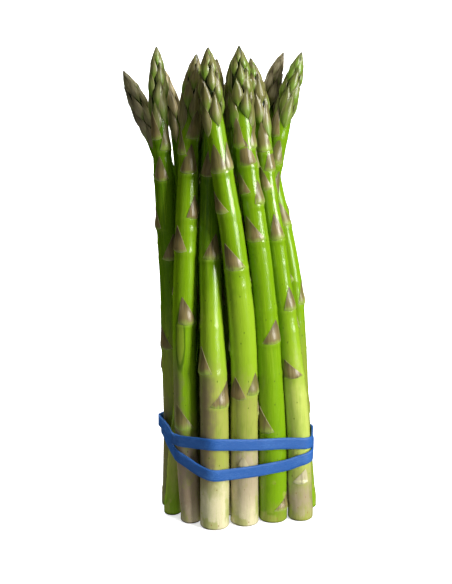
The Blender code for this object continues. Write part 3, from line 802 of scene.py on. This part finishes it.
def head_scales(spear, rng):
    """The scales of the head, on a spiral from the tip down, each longer and wider than the one above."""
    look = bpy.context.scene.asparagus_spears
    places = []
    for step in range(look.head_scales):
        below = HEAD_STEPS[0] + HEAD_STEPS[1] * step + HEAD_STEPS[2] * step**2
        if below > HEAD_LENGTH + 2:
            break
        length = min(below, BUD_LENGTH[0] + BUD_LENGTH[1] * below) * rng.uniform(*BUD_LENGTHS)
        widest = BUD_WIDEST_GIRTH * float(radius_at(spear, spear.tip - below))
        width = min(widest, BUD_WIDTH[0] + BUD_WIDTH[1] * length) * rng.uniform(*BUD_WIDTHS)
        bearing = spear.turn + SPIRAL_STEP * step + rng.uniform(*BUD_BEARINGS)
        lean = rng.uniform(*BUD_LEANS)
        places.append((spear.tip - below, bearing, min(length, below + 0.2), width, lean))
    return places


def make_spear(place):
    """One spear as one piece, in place of its CAD node."""
    core = CORES[place]
    spear = core.spear
    rng = np.random.default_rng(FIRST_SEED + place)
    build = Build()
    lower = stem_scales(place, rng)
    add_stem(build, core, lower, rng)
    field = Field(core)
    for scale in head_scales(spear, rng):
        add_scale(build, core, *scale, True, field, rng.uniform())
    for scale in sorted(lower, reverse=True):
        near_head = scale[0] > spear.tip - HEAD_LENGTH - NEAR_HEAD
        add_scale(build, core, *scale, False, field if near_head else None, rng.uniform())
    stand_in(build.object("fine_" + spear.name), spear.name, skin_finish(spear))


def stand_in(item, node, finish):
    """Puts a finished piece in place of its CAD node."""
    item.data.materials.append(finish)
    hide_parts(node)
    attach(item, "root")


class Wire:
    """One output of a shader node. Arithmetic with it adds Math nodes, also with a number on the left."""

    def __init__(self, paint, socket):
        self.paint, self.socket = paint, socket

    def maths(self, operation, *values):
        return self.paint.node("ShaderNodeMath", {"operation": operation}, dict(enumerate(values)))

    def __add__(self, other):
        return self.maths("ADD", self, other)

    def __sub__(self, other):
        return self.maths("SUBTRACT", self, other)

    def __rsub__(self, other):
        return self.maths("SUBTRACT", other, self)

    def __mul__(self, other):
        return self.maths("MULTIPLY", self, other)

    def __truediv__(self, other):
        return self.maths("DIVIDE", self, other)

    def __pow__(self, other):
        return self.maths("POWER", self, other)

    __radd__ = __add__
    __rmul__ = __mul__

    def clamped(self):
        """The same value, kept between 0 and 1."""
        return self.paint.node("ShaderNodeClamp", {}, {"Value": self})


class Paint:
    """A material that is being put together."""

    def __init__(self, name):
        self.material = bpy.data.materials.new(name)
        self.material.use_nodes = True
        self.tree = self.material.node_tree
        self.tree.nodes.clear()

    def node(self, kind, settings, values, output=0):
        """A new node: its settings first, then values or wires for its sockets. Gives one of its outputs."""
        made = self.tree.nodes.new(kind)
        for name, value in settings.items():
            if name == "stops":
                self.set_stops(made.color_ramp, value)
            else:
                setattr(made, name, value)
        for name, value in values.items():
            if isinstance(value, Wire):
                self.tree.links.new(value.socket, made.inputs[name])
            else:
                made.inputs[name].default_value = value
        return Wire(self, made.outputs[output]) if made.outputs else None

    @staticmethod
    def set_stops(ramp, stops):
        """Sets a ramp's stops, each a place from 0 to 1 and a linear colour."""
        while len(ramp.elements) < len(stops):
            ramp.elements.new(1.0)
        for element, (place, colour) in zip(ramp.elements, stops):
            element.position = place
            element.color = (*colour, 1.0)

    def mark(self, name):
        """One of the mesh's own marks, from 0 to 1."""
        return self.node("ShaderNodeAttribute", {"attribute_name": name}, {}, "Fac")

    def places(self, name, stretch):
        """The places of a vector mark, scaled along each axis."""
        raw = self.node("ShaderNodeAttribute", {"attribute_name": name}, {}, "Vector")
        return self.node("ShaderNodeVectorMath", {"operation": "MULTIPLY"}, {0: raw, 1: stretch})

    def noise(self, places, detail, roughness, scale=1.0, distortion=0.0):
        """Noise from 0 to 1, around 0.5."""
        values = {"Vector": places, "Scale": scale, "Detail": detail, "Roughness": roughness,
                  "Distortion": distortion}
        return self.node("ShaderNodeTexNoise", {}, values, "Fac")

    def cells(self, stretch):
        """Distances from the middles of random cells on a spear's skin."""
        values = {"Vector": self.places("skin", stretch), "Scale": 1.0}
        return self.node("ShaderNodeTexVoronoi", {}, values, "Distance")

    def band(self, value, low, high, out_low=0.0, out_high=1.0):
        """Rises smoothly from one output to the other while the value goes from low to high."""
        values = {0: value, 1: low, 2: high, 3: out_low, 4: out_high}
        return self.node("ShaderNodeMapRange", {"interpolation_type": "SMOOTHSTEP"}, values)

    def mix(self, first, *coats):
        """A colour under coats that are laid on it in turn, each a colour and its share."""
        for second, share in coats:
            first, second = (mixed if isinstance(mixed, Wire) else (*mixed, 1.0) for mixed in (first, second))
            first = self.node("ShaderNodeMix", {"data_type": "RGBA"}, {0: share, 6: first, 7: second}, 2)
        return first

    def finish(self, values, height=None, strength=0.0, distance=0.0):
        """The surface itself, with a bump where there is a height; gives the material."""
        if height is not None:
            bump = {"Height": height, "Strength": strength, "Distance": distance}
            values["Normal"] = self.node("ShaderNodeBump", {}, bump)
        surface = self.node("ShaderNodeBsdfPrincipled", {}, values)
        self.node("ShaderNodeOutputMaterial", {}, {"Surface": surface})
        return self.material


def add_blush(paint, stem, blush, round_places, cloud):
    """A stem's colour with a brown tint on one side."""
    low, high, bearing, strength = blush
    if not strength:
        return stem
    frontward, rightward, height = round_places
    turn = math.radians(bearing)
    side = frontward * math.cos(turn) + rightward * math.sin(turn)
    inside = paint.band(height, low - 8, low + 8) * (1 - paint.band(height, high - 14, high + 14))
    tint = inside * paint.band(side + (cloud - 0.5) * 1.2, 0.1, 0.9) * strength
    return paint.mix(stem, (BROWN_GREY, tint))


def add_scar(paint, stem, scar, skin_places, cloud):
    """A stem's colour with a long healed nick: dull inside, with a dark rim."""
    if not scar:
        return stem
    z, bearing, half_length, half_width = scar
    frontward, rightward, height = skin_places
    turn = math.radians(bearing)
    sideways = (rightward * math.cos(turn) - frontward * math.sin(turn)) / half_width
    upward = (height - z) / half_length
    away = sideways * sideways + upward * upward + (cloud - 0.5) * 0.5
    facing = paint.band(frontward, 0.0, 1.0)
    inside = (1 - paint.band(away, 0.5, 0.9)) * facing
    rim = paint.band(away, 0.5, 0.8) * (1 - paint.band(away, 0.9, 1.4)) * facing
    return paint.mix(stem, (LOW_OLIVE, inside * 0.5), (DARK_VEIN, rim * 0.8))


def skin_finish(spear):
    """Fresh asparagus: green flesh with fine streaks, brown scales and a pale cut end, with painted shade
    between and along the head's scales.
    """
    look = bpy.context.scene.asparagus_spears
    skin = SKINS[spear.name]
    paint = Paint(spear.name + "_skin")
    leaf, bud, rise, across, chance, ring, cut = (paint.mark(mark) for mark in Build.MARKS)
    streaks, veins, blotches, cloud, grain, patches, ribs = (
        paint.noise(paint.places("skin", stretch), detail, roughness)
        for stretch, detail, roughness in SKIN_NOISE.values())
    raw = paint.node("ShaderNodeAttribute", {"attribute_name": "skin"}, {}, "Vector")
    skin_places = [paint.node("ShaderNodeSeparateXYZ", {}, {0: raw}, axis) for axis in "XYZ"]
    height = skin_places[2]
    foot = 1 - paint.band(height, *FOOT_FADE)
    pale_foot, pale_scales = (float(colour in (FOOT_CREAM, FOOT_TAUPE)) for _, colour in skin.stops[:2])

    top = max(z for z, colour in skin.stops) + 20
    shifted = (height + (cloud - 0.5) * 22 + (blotches - 0.5) * 16) / top
    stops = [(z / top, colour) for z, colour in skin.stops]
    stem = paint.node("ShaderNodeValToRGB", {"stops": stops}, {"Fac": shifted.clamped()}, "Color")
    stem = paint.mix(
        stem,
        (LIGHT_GREEN, paint.band(streaks, 0.48, 0.75) * look.streaks * paint.band(height, 20, 80, 0.3, 1.0)),
        (DEEP_GREEN, paint.band(blotches, 0.5, 0.75) * 0.45),
        (DARK_VEIN, paint.band(veins, 0.55, 0.8) * 0.3),
        (LIGHT_GREEN, paint.band(grain, 0.52, 0.75) * 0.25),
        (FOOT_CREAM, foot * paint.band(cloud, 0.5, 0.72) * 0.3 * pale_foot),
        (PALE_GREEN, foot * paint.band(patches, 0.56, 0.64) * 0.6))
    round_places = [place / spear.girth[0][1] for place in skin_places[:2]] + [height]
    stem = add_blush(paint, stem, skin.blush, round_places, cloud)
    stem = add_scar(paint, stem, skin.scar, skin_places, cloud)
    specks = 1 - paint.band(paint.cells(SPECK_FINENESS), 0.05, 0.13)
    # Painted shade: where the bud mark is set, the stem under the head is coloured near black, as shade in
    # the gaps between the head's scales
    stem = paint.mix(
        stem,
        (look.ring_colour, ring**3 * 0.6),
        (paint.mix(DARK_VEIN, (SPECK_BROWN, foot)), specks * 0.75),
        (look.gap_shade_colour, bud))

    tone = rise + (chance - 0.5) * 0.4 + (cloud - 0.5) * 0.6 + (skin.taupe - 0.55) * 0.5
    tone = paint.band(tone, 0.05, 0.6)
    brown = paint.mix(
        SCALE_BROWN,
        (skin.head, bud),
        (look.scale_dark_and_shade, paint.band(rise + (streaks - 0.5), 0.25, 1.0) * 0.8),
        (look.scale_olive, paint.band(blotches + (chance - 0.5) * 0.5, 0.45, 0.7) * 0.5))
    bud_scale = paint.mix(look.scale_green, (brown, (tone * (0.5 + skin.taupe * 0.6)).clamped()))
    risen = paint.band(rise + (cloud - 0.5) * 0.3, 0.0, 0.1 + chance * 0.3)
    stem_scale = paint.mix(look.ring_colour, (brown, risen))
    stem_scale = paint.mix(look.margin_colour, (stem_scale, paint.band(rise, 0.015, 0.06)))
    edge = across * across
    scale = paint.mix(
        stem_scale,
        (bud_scale, bud),
        (FOOT_CREAM, paint.band(height, *FOOT_SCALE_FADE) * pale_scales * 0.7),
        # Painted shade: each head scale darker along its sides, inside the pale margin, as shade in the
        # crevices between the scales
        (look.scale_dark_and_shade, paint.band(edge, 0.3, 0.75) * (1 - paint.band(edge, 0.84, 0.95)) * bud * 0.35),
        (look.margin_colour, paint.band(edge, 0.8, 0.98) * (0.25 + chance * 0.3)),
        (look.scale_dark_and_shade, paint.band(ribs, 0.5, 0.68) * 0.5),
        (look.margin_colour, paint.band(ribs, 0.46, 0.3) * 0.3),
        (look.scale_dark_and_shade, paint.band(streaks, 0.5, 0.72) * 0.3),
        (look.margin_colour, paint.band(veins, 0.6, 0.8) * 0.25))

    fibres = paint.band(paint.cells(FIBRE_FINENESS), 0.25, 0.1)
    inside = paint.mix(look.cut_colour, (look.cut_dark, fibres * 0.6 + (cloud - 0.4) * 0.5))
    rough = 0.19 + (grain - 0.5) * 0.2 + leaf * 0.16 + cut * 0.3
    relief = streaks * 0.7 + grain * 0.4 + cloud * 0.4 + veins * 0.2 + ribs * leaf
    values = {"Base Color": paint.mix(stem, (scale, leaf), (inside, cut)), "Roughness": rough.clamped(),
              "IOR": skin.shine}
    return paint.finish(values, relief, 0.5, SKIN_BUMP)


def rubber_finish():
    """Blue rubber with the fine creases of a stretched band."""
    look = bpy.context.scene.asparagus_band
    paint = Paint("band_rubber")
    creases = paint.noise(paint.places("run", (0.5, 2.6, 1.0)), 4.0, 0.65, distortion=0.8)
    fine = paint.noise(paint.places("run", (3.0, 3.0, 3.0)), 2.0, 0.6)
    worn = paint.noise(paint.places("run", (0.12, 0.3, 0.3)), 3.0, 0.5)
    colour = paint.mix(look.colour, (look.dusty, paint.band(creases * 0.6 + worn * 0.4, 0.45, 0.7) * 0.6))
    rough = 0.5 + (fine - 0.5) * 0.2 + (worn - 0.5) * 0.15
    values = {"Base Color": colour, "Roughness": rough.clamped(), "IOR": RUBBER_SHINE}
    return paint.finish(values, creases * 0.9 + fine * 0.3, 0.8, RUBBER_BUMP)


def band_height(turn, bearing):
    """Height of the band's middle at a place's bearing from the middle, on its first or second turn."""
    bearings, heights = zip(*(BAND_TURN_ONE, BAND_TURN_TWO)[turn])
    return float(np.interp(bearing, bearings, heights))


def band_lift(turn, bearing):
    """How far the band's over strand is lifted off the under one, at the left and at the back."""
    down, up = BAND_RAMPS
    if turn == 0:
        share = np.interp(bearing, down, (1.0, 0.0))
    else:
        share = np.interp(bearing, up, (0.0, 1.0))
    return BAND_LIFT_OVER * float(smooth_step(share))


def bearing_of(point, near):
    """The bearing of a place from the bundle's middle, within half a turn of another bearing."""
    bearing = math.degrees(math.atan2(point[0], -point[1]))
    return near + (bearing - near + 180) % 360 - 180


def band_contact(turn, facing):
    """Where the band leans on the bundle with its face to a bearing, and its outward direction there."""
    angle = math.radians(facing)
    outward = np.array((math.sin(angle), -math.cos(angle), 0.0))
    bearing = facing
    for _ in range(BAND_TRIES):
        height = band_height(turn, bearing)
        touched = []
        for core in CORES:
            girth = float(np.interp(height, core.grid, core.outline))
            away = girth + BAND_CLEARANCE + band_lift(turn, facing)
            point = core.middle(np.array(height)) + outward * away
            touched.append((float(point @ outward), tuple(point)))
        point = np.array(max(touched)[1])
        bearing = bearing_of(point, facing)
    return point, outward


def band_line():
    """The band's inner face along its middle, evenly spaced, with outward directions and lengths so far."""
    facings = [(turn, facing) for turn in (0, 1) for facing in range(BAND_START, BAND_START + 360, 2)]
    contacts = [band_contact(turn, facing) for turn, facing in facings]
    points, outwards = (np.array(values) for values in zip(*contacts, contacts[0]))
    steps = np.linalg.norm(np.diff(points[:, :2], axis=0), axis=1)
    along = np.concatenate([[0.0], np.cumsum(steps)])
    even = np.linspace(0, along[-1], 2 * BAND_SECTIONS + 1)[:-1]
    line, outward = (np.stack([np.interp(even, along, axis) for axis in values.T], axis=-1)
                     for values in (points, outwards))
    whole_facings = [360.0 * turn + facing for turn, facing in facings] + [BAND_START + 720.0]
    turned = np.interp(even, along, whole_facings)
    for place, whole in enumerate(turned):
        turn = int(whole >= BAND_START + 360)
        line[place, 2] = band_height(turn, bearing_of(line[place], whole - 360.0 * turn))
    for _ in range(BAND_EVENING):
        line[:, 2] = (np.roll(line[:, 2], 1) + 2 * line[:, 2] + np.roll(line[:, 2], -1)) / 4
    return line, outward / np.linalg.norm(outward, axis=1, keepdims=True), even


def make_band():
    """The rubber band as one closed strip, two turns long, with rounded edges."""
    look = bpy.context.scene.asparagus_band
    line, outward, even = band_line()
    ahead = np.roll(line, -1, axis=0) - np.roll(line, 1, axis=0)
    ahead /= np.linalg.norm(ahead, axis=1, keepdims=True)
    outward = np.cross(np.cross(ahead, outward), ahead)
    outward /= np.linalg.norm(outward, axis=1, keepdims=True)
    upward = np.cross(ahead, outward)
    half, thick, edge = look.width / MM / 2, look.thickness / MM, BAND_EDGE
    section = [(-half + edge, 0), (-half, edge), (-half, thick - edge), (-half + edge, thick)]
    section += [(share * half, thick) for share in (-0.6, -0.3, 0.0, 0.3, 0.6)]
    section += [(half - edge, thick), (half, thick - edge), (half, edge), (half - edge, 0)]
    section += [(share * half, 0) for share in (0.5, 0.0, -0.5)]
    rings = np.stack([line + upward * up + outward * out for up, out in section], axis=1)
    count, sides = rings.shape[:2]
    faces = grid_faces(count + 1, sides, closed=True)
    faces = [tuple(corner % (count * sides) for corner in face) for face in faces]
    mesh = bpy.data.meshes.new("fine_rubber_band")
    mesh.from_pydata(rings.reshape(-1, 3) * MM, [], faces)
    run = np.zeros((count, sides, 3))
    run[..., 0] = np.minimum(even, even[-1] - even)[:, None]
    run[..., 1:] = section
    run = run.astype(np.float32).ravel()
    mesh.attributes.new("run", "FLOAT_VECTOR", "POINT").data.foreach_set("vector", run)
    mesh.shade_smooth()
    mesh.set_sharp_from_angle(angle=math.radians(BAND_SHARP_ANGLE))
    item = bpy.data.objects.new("fine_rubber_band", mesh)
    bpy.context.scene.collection.objects.link(item)
    stand_in(item, "rubber_band", rubber_finish())


def floor_finish():
    """Pale board with the faintest mottle. It glows like a light table, more so away from its middle."""
    look = bpy.context.scene.asparagus_stage
    paint = Paint("pale_floor")
    places = paint.node("ShaderNodeTexCoord", {}, {}, "Object")
    mottle = paint.noise(places, 3.0, 0.5, scale=6.0)
    colour = paint.mix(look.floor_colour, ([part * FLOOR_MOTTLE for part in look.floor_colour], mottle))
    away = paint.node("ShaderNodeVectorMath", {"operation": "LENGTH"}, {0: places}, "Value")
    glow = paint.mix([look.floor_glow] * 3, ((1, 1, 1), paint.band(away, *GLOW_FADE)))
    values = {"Base Color": colour, "Roughness": 0.7, "Emission Color": glow, "Emission Strength": 1.0}
    return paint.finish(values)


def make_floor():
    """A floor that sweeps up into a backdrop."""
    (front, back), bend, top = FLOOR_REACH, np.linspace(0, math.pi / 2, 14), BACKDROP_TOP
    depth = np.concatenate([np.linspace(front, back - 0.05, 8), back + BEND_RADIUS * np.sin(bend),
                            [back + BEND_RADIUS]])
    height = np.concatenate([np.zeros(8), BEND_RADIUS * (1 - np.cos(bend)), [top]])
    sides = np.linspace(-FLOOR_HALF_WIDTH, FLOOR_HALF_WIDTH, 9)
    points = [(x, y, z) for y, z in zip(depth, height) for x in sides]
    mesh = bpy.data.meshes.new("floor")
    mesh.from_pydata(points, [], grid_faces(len(depth), len(sides)))
    mesh.shade_smooth()
    floor = bpy.data.objects.new("floor", mesh)
    bpy.context.scene.collection.objects.link(floor)
    floor.data.materials.append(floor_finish())
    floor.visible_diffuse = False
    floor.visible_glossy = False


def soft_light(light_box, power):
    """One soft box of the studio, turned towards its aim."""
    light = bpy.data.lights.new(light_box.name, "AREA")
    light.shape = "RECTANGLE"
    light.size, light.size_y = light_box.size
    light.energy = power
    light.color = light_box.colour
    light.spread = LIGHT_SPREAD
    item = bpy.data.objects.new(light_box.name, light)
    item.location = light_box.spot
    direction = Vector(light_box.aim) - Vector(light_box.spot)
    item.rotation_euler = direction.to_track_quat("-Z", "Y").to_euler()
    item.visible_camera = False
    item.visible_glossy = light_box.reflected
    bpy.context.scene.collection.objects.link(item)


def make_studio():
    """The lights, the pale surroundings and the camera."""
    scene = bpy.context.scene
    for light_box in LIGHTS:
        soft_light(light_box, getattr(scene.asparagus_stage, light_box.name + "_power"))
    world = bpy.data.worlds.new("surroundings")
    world.color = (1, 1, 1)
    scene.world = world
    for ray in ("diffuse", "glossy", "transmission", "scatter"):
        setattr(world.cycles_visibility, ray, False)
    camera = bpy.data.cameras.new("camera")
    camera.lens = LENS
    camera.sensor_width = SENSOR
    item = bpy.data.objects.new("camera", camera)
    item.location = CAMERA_SPOT
    item.rotation_euler = (math.radians(90 - CAMERA_PITCH), 0, 0)
    scene.collection.objects.link(item)
    scene.camera = item
    scene.view_settings.view_transform = "Standard"


def length_setting(name, description, default):
    """A size in metres that the panel can change."""
    return bpy.props.FloatProperty(name=name, description=description, default=default, unit="LENGTH")


def share_setting(name, description, default):
    """A part of one that the panel can change."""
    return bpy.props.FloatProperty(name=name, description=description, default=default, min=0.0, max=1.0,
                                   subtype="FACTOR")


def power_setting(name, description, default):
    """The power of a light that the panel can change."""
    return bpy.props.FloatProperty(name=name, description=description, default=default, unit="POWER")


def colour_setting(name, description, default):
    """A colour in linear light that the panel can change."""
    return bpy.props.FloatVectorProperty(name=name, description=description, default=default, subtype="COLOR")


class AsparagusSpears(bpy.types.PropertyGroup):
    """Sizes and colours of the spears."""

    head_scales: bpy.props.IntProperty(name="Head scales", description="Scales on a spear's head", default=29)
    bud_rise: length_setting("Bud rise", "How plump the head's scales are", 0.0009)
    bud_flare: length_setting("Bud flare", "How far a head scale's point stands off", 0.0005)
    leaf_rise: length_setting("Leaf rise", "How far a stem scale bulges", 0.0007)
    leaf_thickness: length_setting("Scale thickness", "Thickness of a scale", 0.00035)
    node_rise: length_setting("Ring rise", "Height of the ring under a stem scale", 0.0005)
    streaks: share_setting("Streaks", "Strength of the light streaks up the stem", 0.6)
    # The scales' own dark points, streaks and ribs, and also painted shade along the sides of the head's
    # scales
    scale_dark_and_shade: colour_setting("Scale points", "Dark brown of the scales' points", (0.085, 0.062, 0.028))
    scale_olive: colour_setting("Scale tinge", "Olive tinge of some scales", (0.15, 0.155, 0.036))
    scale_green: colour_setting("Scale roots", "Green low on the head's scales", (0.16, 0.29, 0.02))
    # Painted shade: the near-black colour of the stem seen between the head's scales
    gap_shade_colour: colour_setting("Head gaps", "Dark green between the head's scales", (0.02, 0.035, 0.008))
    ring_colour: colour_setting("Rings", "Light green at the root of a scale", (0.30, 0.44, 0.06))
    margin_colour: colour_setting("Margins", "Pale thin edge of a scale", (0.47, 0.42, 0.23))
    cut_colour: colour_setting("Cut end", "Pale flesh of the cut end", (0.62, 0.60, 0.36))
    cut_dark: colour_setting("Cut fibres", "Dry fibres of the cut end", (0.36, 0.30, 0.16))


class AsparagusBand(bpy.types.PropertyGroup):
    """Sizes and colours of the rubber band."""

    width: length_setting("Width", "Width of the band", 0.0056)
    thickness: length_setting("Thickness", "Thickness of the band", 0.001)
    colour: colour_setting("Rubber", "Blue of the rubber", (0.013, 0.095, 0.35))
    dusty: colour_setting("Bloom", "Lighter blue of its worn creases", (0.055, 0.18, 0.5))


class AsparagusStage(bpy.types.PropertyGroup):
    """The studio."""

    floor_colour: colour_setting("Floor", "Pale floor and backdrop", (0.86, 0.86, 0.86))
    floor_glow: share_setting("Floor glow", "Light of the floor's own under the bundle", 0.6)
    key_power: power_setting("Key light", "Power of the light at the right", 28.0)
    fill_power: power_setting("Fill light", "Power of the light at the left", 2.5)
    top_power: power_setting("Top light", "Power of the light overhead", 22.0)
    back_power: power_setting("Back light", "Power of the light from behind", 20.0)
    bounce_power: power_setting("Bounce", "Power of the light off the floor at the foot", 0.42)


class ASPARAGUS_OT_seen_spears(bpy.types.Operator):
    """Builds the spears that the front shows"""

    bl_idname = "asparagus.seen_spears"
    bl_label = "Front spears"

    def execute(self, context):
        for place, spear in enumerate(SPEARS):
            if spear.name in SEEN:
                make_spear(place)
        return {"FINISHED"}


class ASPARAGUS_OT_inner_spears(bpy.types.Operator):
    """Builds the spears inside and at the back of the bundle"""

    bl_idname = "asparagus.inner_spears"
    bl_label = "Inner and back spears"

    def execute(self, context):
        for place, spear in enumerate(SPEARS):
            if spear.name not in SEEN:
                make_spear(place)
        return {"FINISHED"}


class ASPARAGUS_OT_band(bpy.types.Operator):
    """Builds the rubber band"""

    bl_idname = "asparagus.band"
    bl_label = "Rubber band"

    def execute(self, context):
        make_band()
        return {"FINISHED"}


class ASPARAGUS_OT_stage(bpy.types.Operator):
    """Builds the floor, the lights and the camera"""

    bl_idname = "asparagus.stage"
    bl_label = "Studio"

    def execute(self, context):
        make_floor()
        make_studio()
        return {"FINISHED"}


class ASPARAGUS_PT_panel(bpy.types.Panel):
    """Lists the pieces of the bundle with their settings."""

    bl_idname = "ASPARAGUS_PT_panel"
    bl_label = "Bundle of asparagus"
    bl_space_type = "VIEW_3D"
    bl_region_type = "UI"
    bl_category = "Asparagus"

    def draw(self, context):
        scene = context.scene
        for operator, group in PANEL_ROWS:
            box = self.layout.box()
            box.operator(operator)
            if group:
                settings = getattr(scene, group)
                for name in settings.__annotations__:
                    box.prop(settings, name)


PANEL_ROWS = (
    ("asparagus.seen_spears", "asparagus_spears"), ("asparagus.inner_spears", None),
    ("asparagus.band", "asparagus_band"), ("asparagus.stage", "asparagus_stage"),
)
CLASSES = (
    AsparagusSpears, AsparagusBand, AsparagusStage, ASPARAGUS_OT_seen_spears, ASPARAGUS_OT_inner_spears,
    ASPARAGUS_OT_band, ASPARAGUS_OT_stage, ASPARAGUS_PT_panel,
)


def register():
    for item in CLASSES:
        bpy.utils.register_class(item)
    bpy.types.Scene.asparagus_spears = bpy.props.PointerProperty(type=AsparagusSpears)
    bpy.types.Scene.asparagus_band = bpy.props.PointerProperty(type=AsparagusBand)
    bpy.types.Scene.asparagus_stage = bpy.props.PointerProperty(type=AsparagusStage)


def unregister():
    del bpy.types.Scene.asparagus_stage
    del bpy.types.Scene.asparagus_band
    del bpy.types.Scene.asparagus_spears
    for item in reversed(CLASSES):
        bpy.utils.unregister_class(item)


def main():
    runs = plan_runs()
    CORES.extend(Core(runs, place) for place in range(len(SPEARS)))
    register()
    bpy.ops.asparagus.seen_spears()
    bpy.ops.asparagus.inner_spears()
    bpy.ops.asparagus.band()
    bpy.ops.asparagus.stage()


if __name__ == "__main__":
    main()
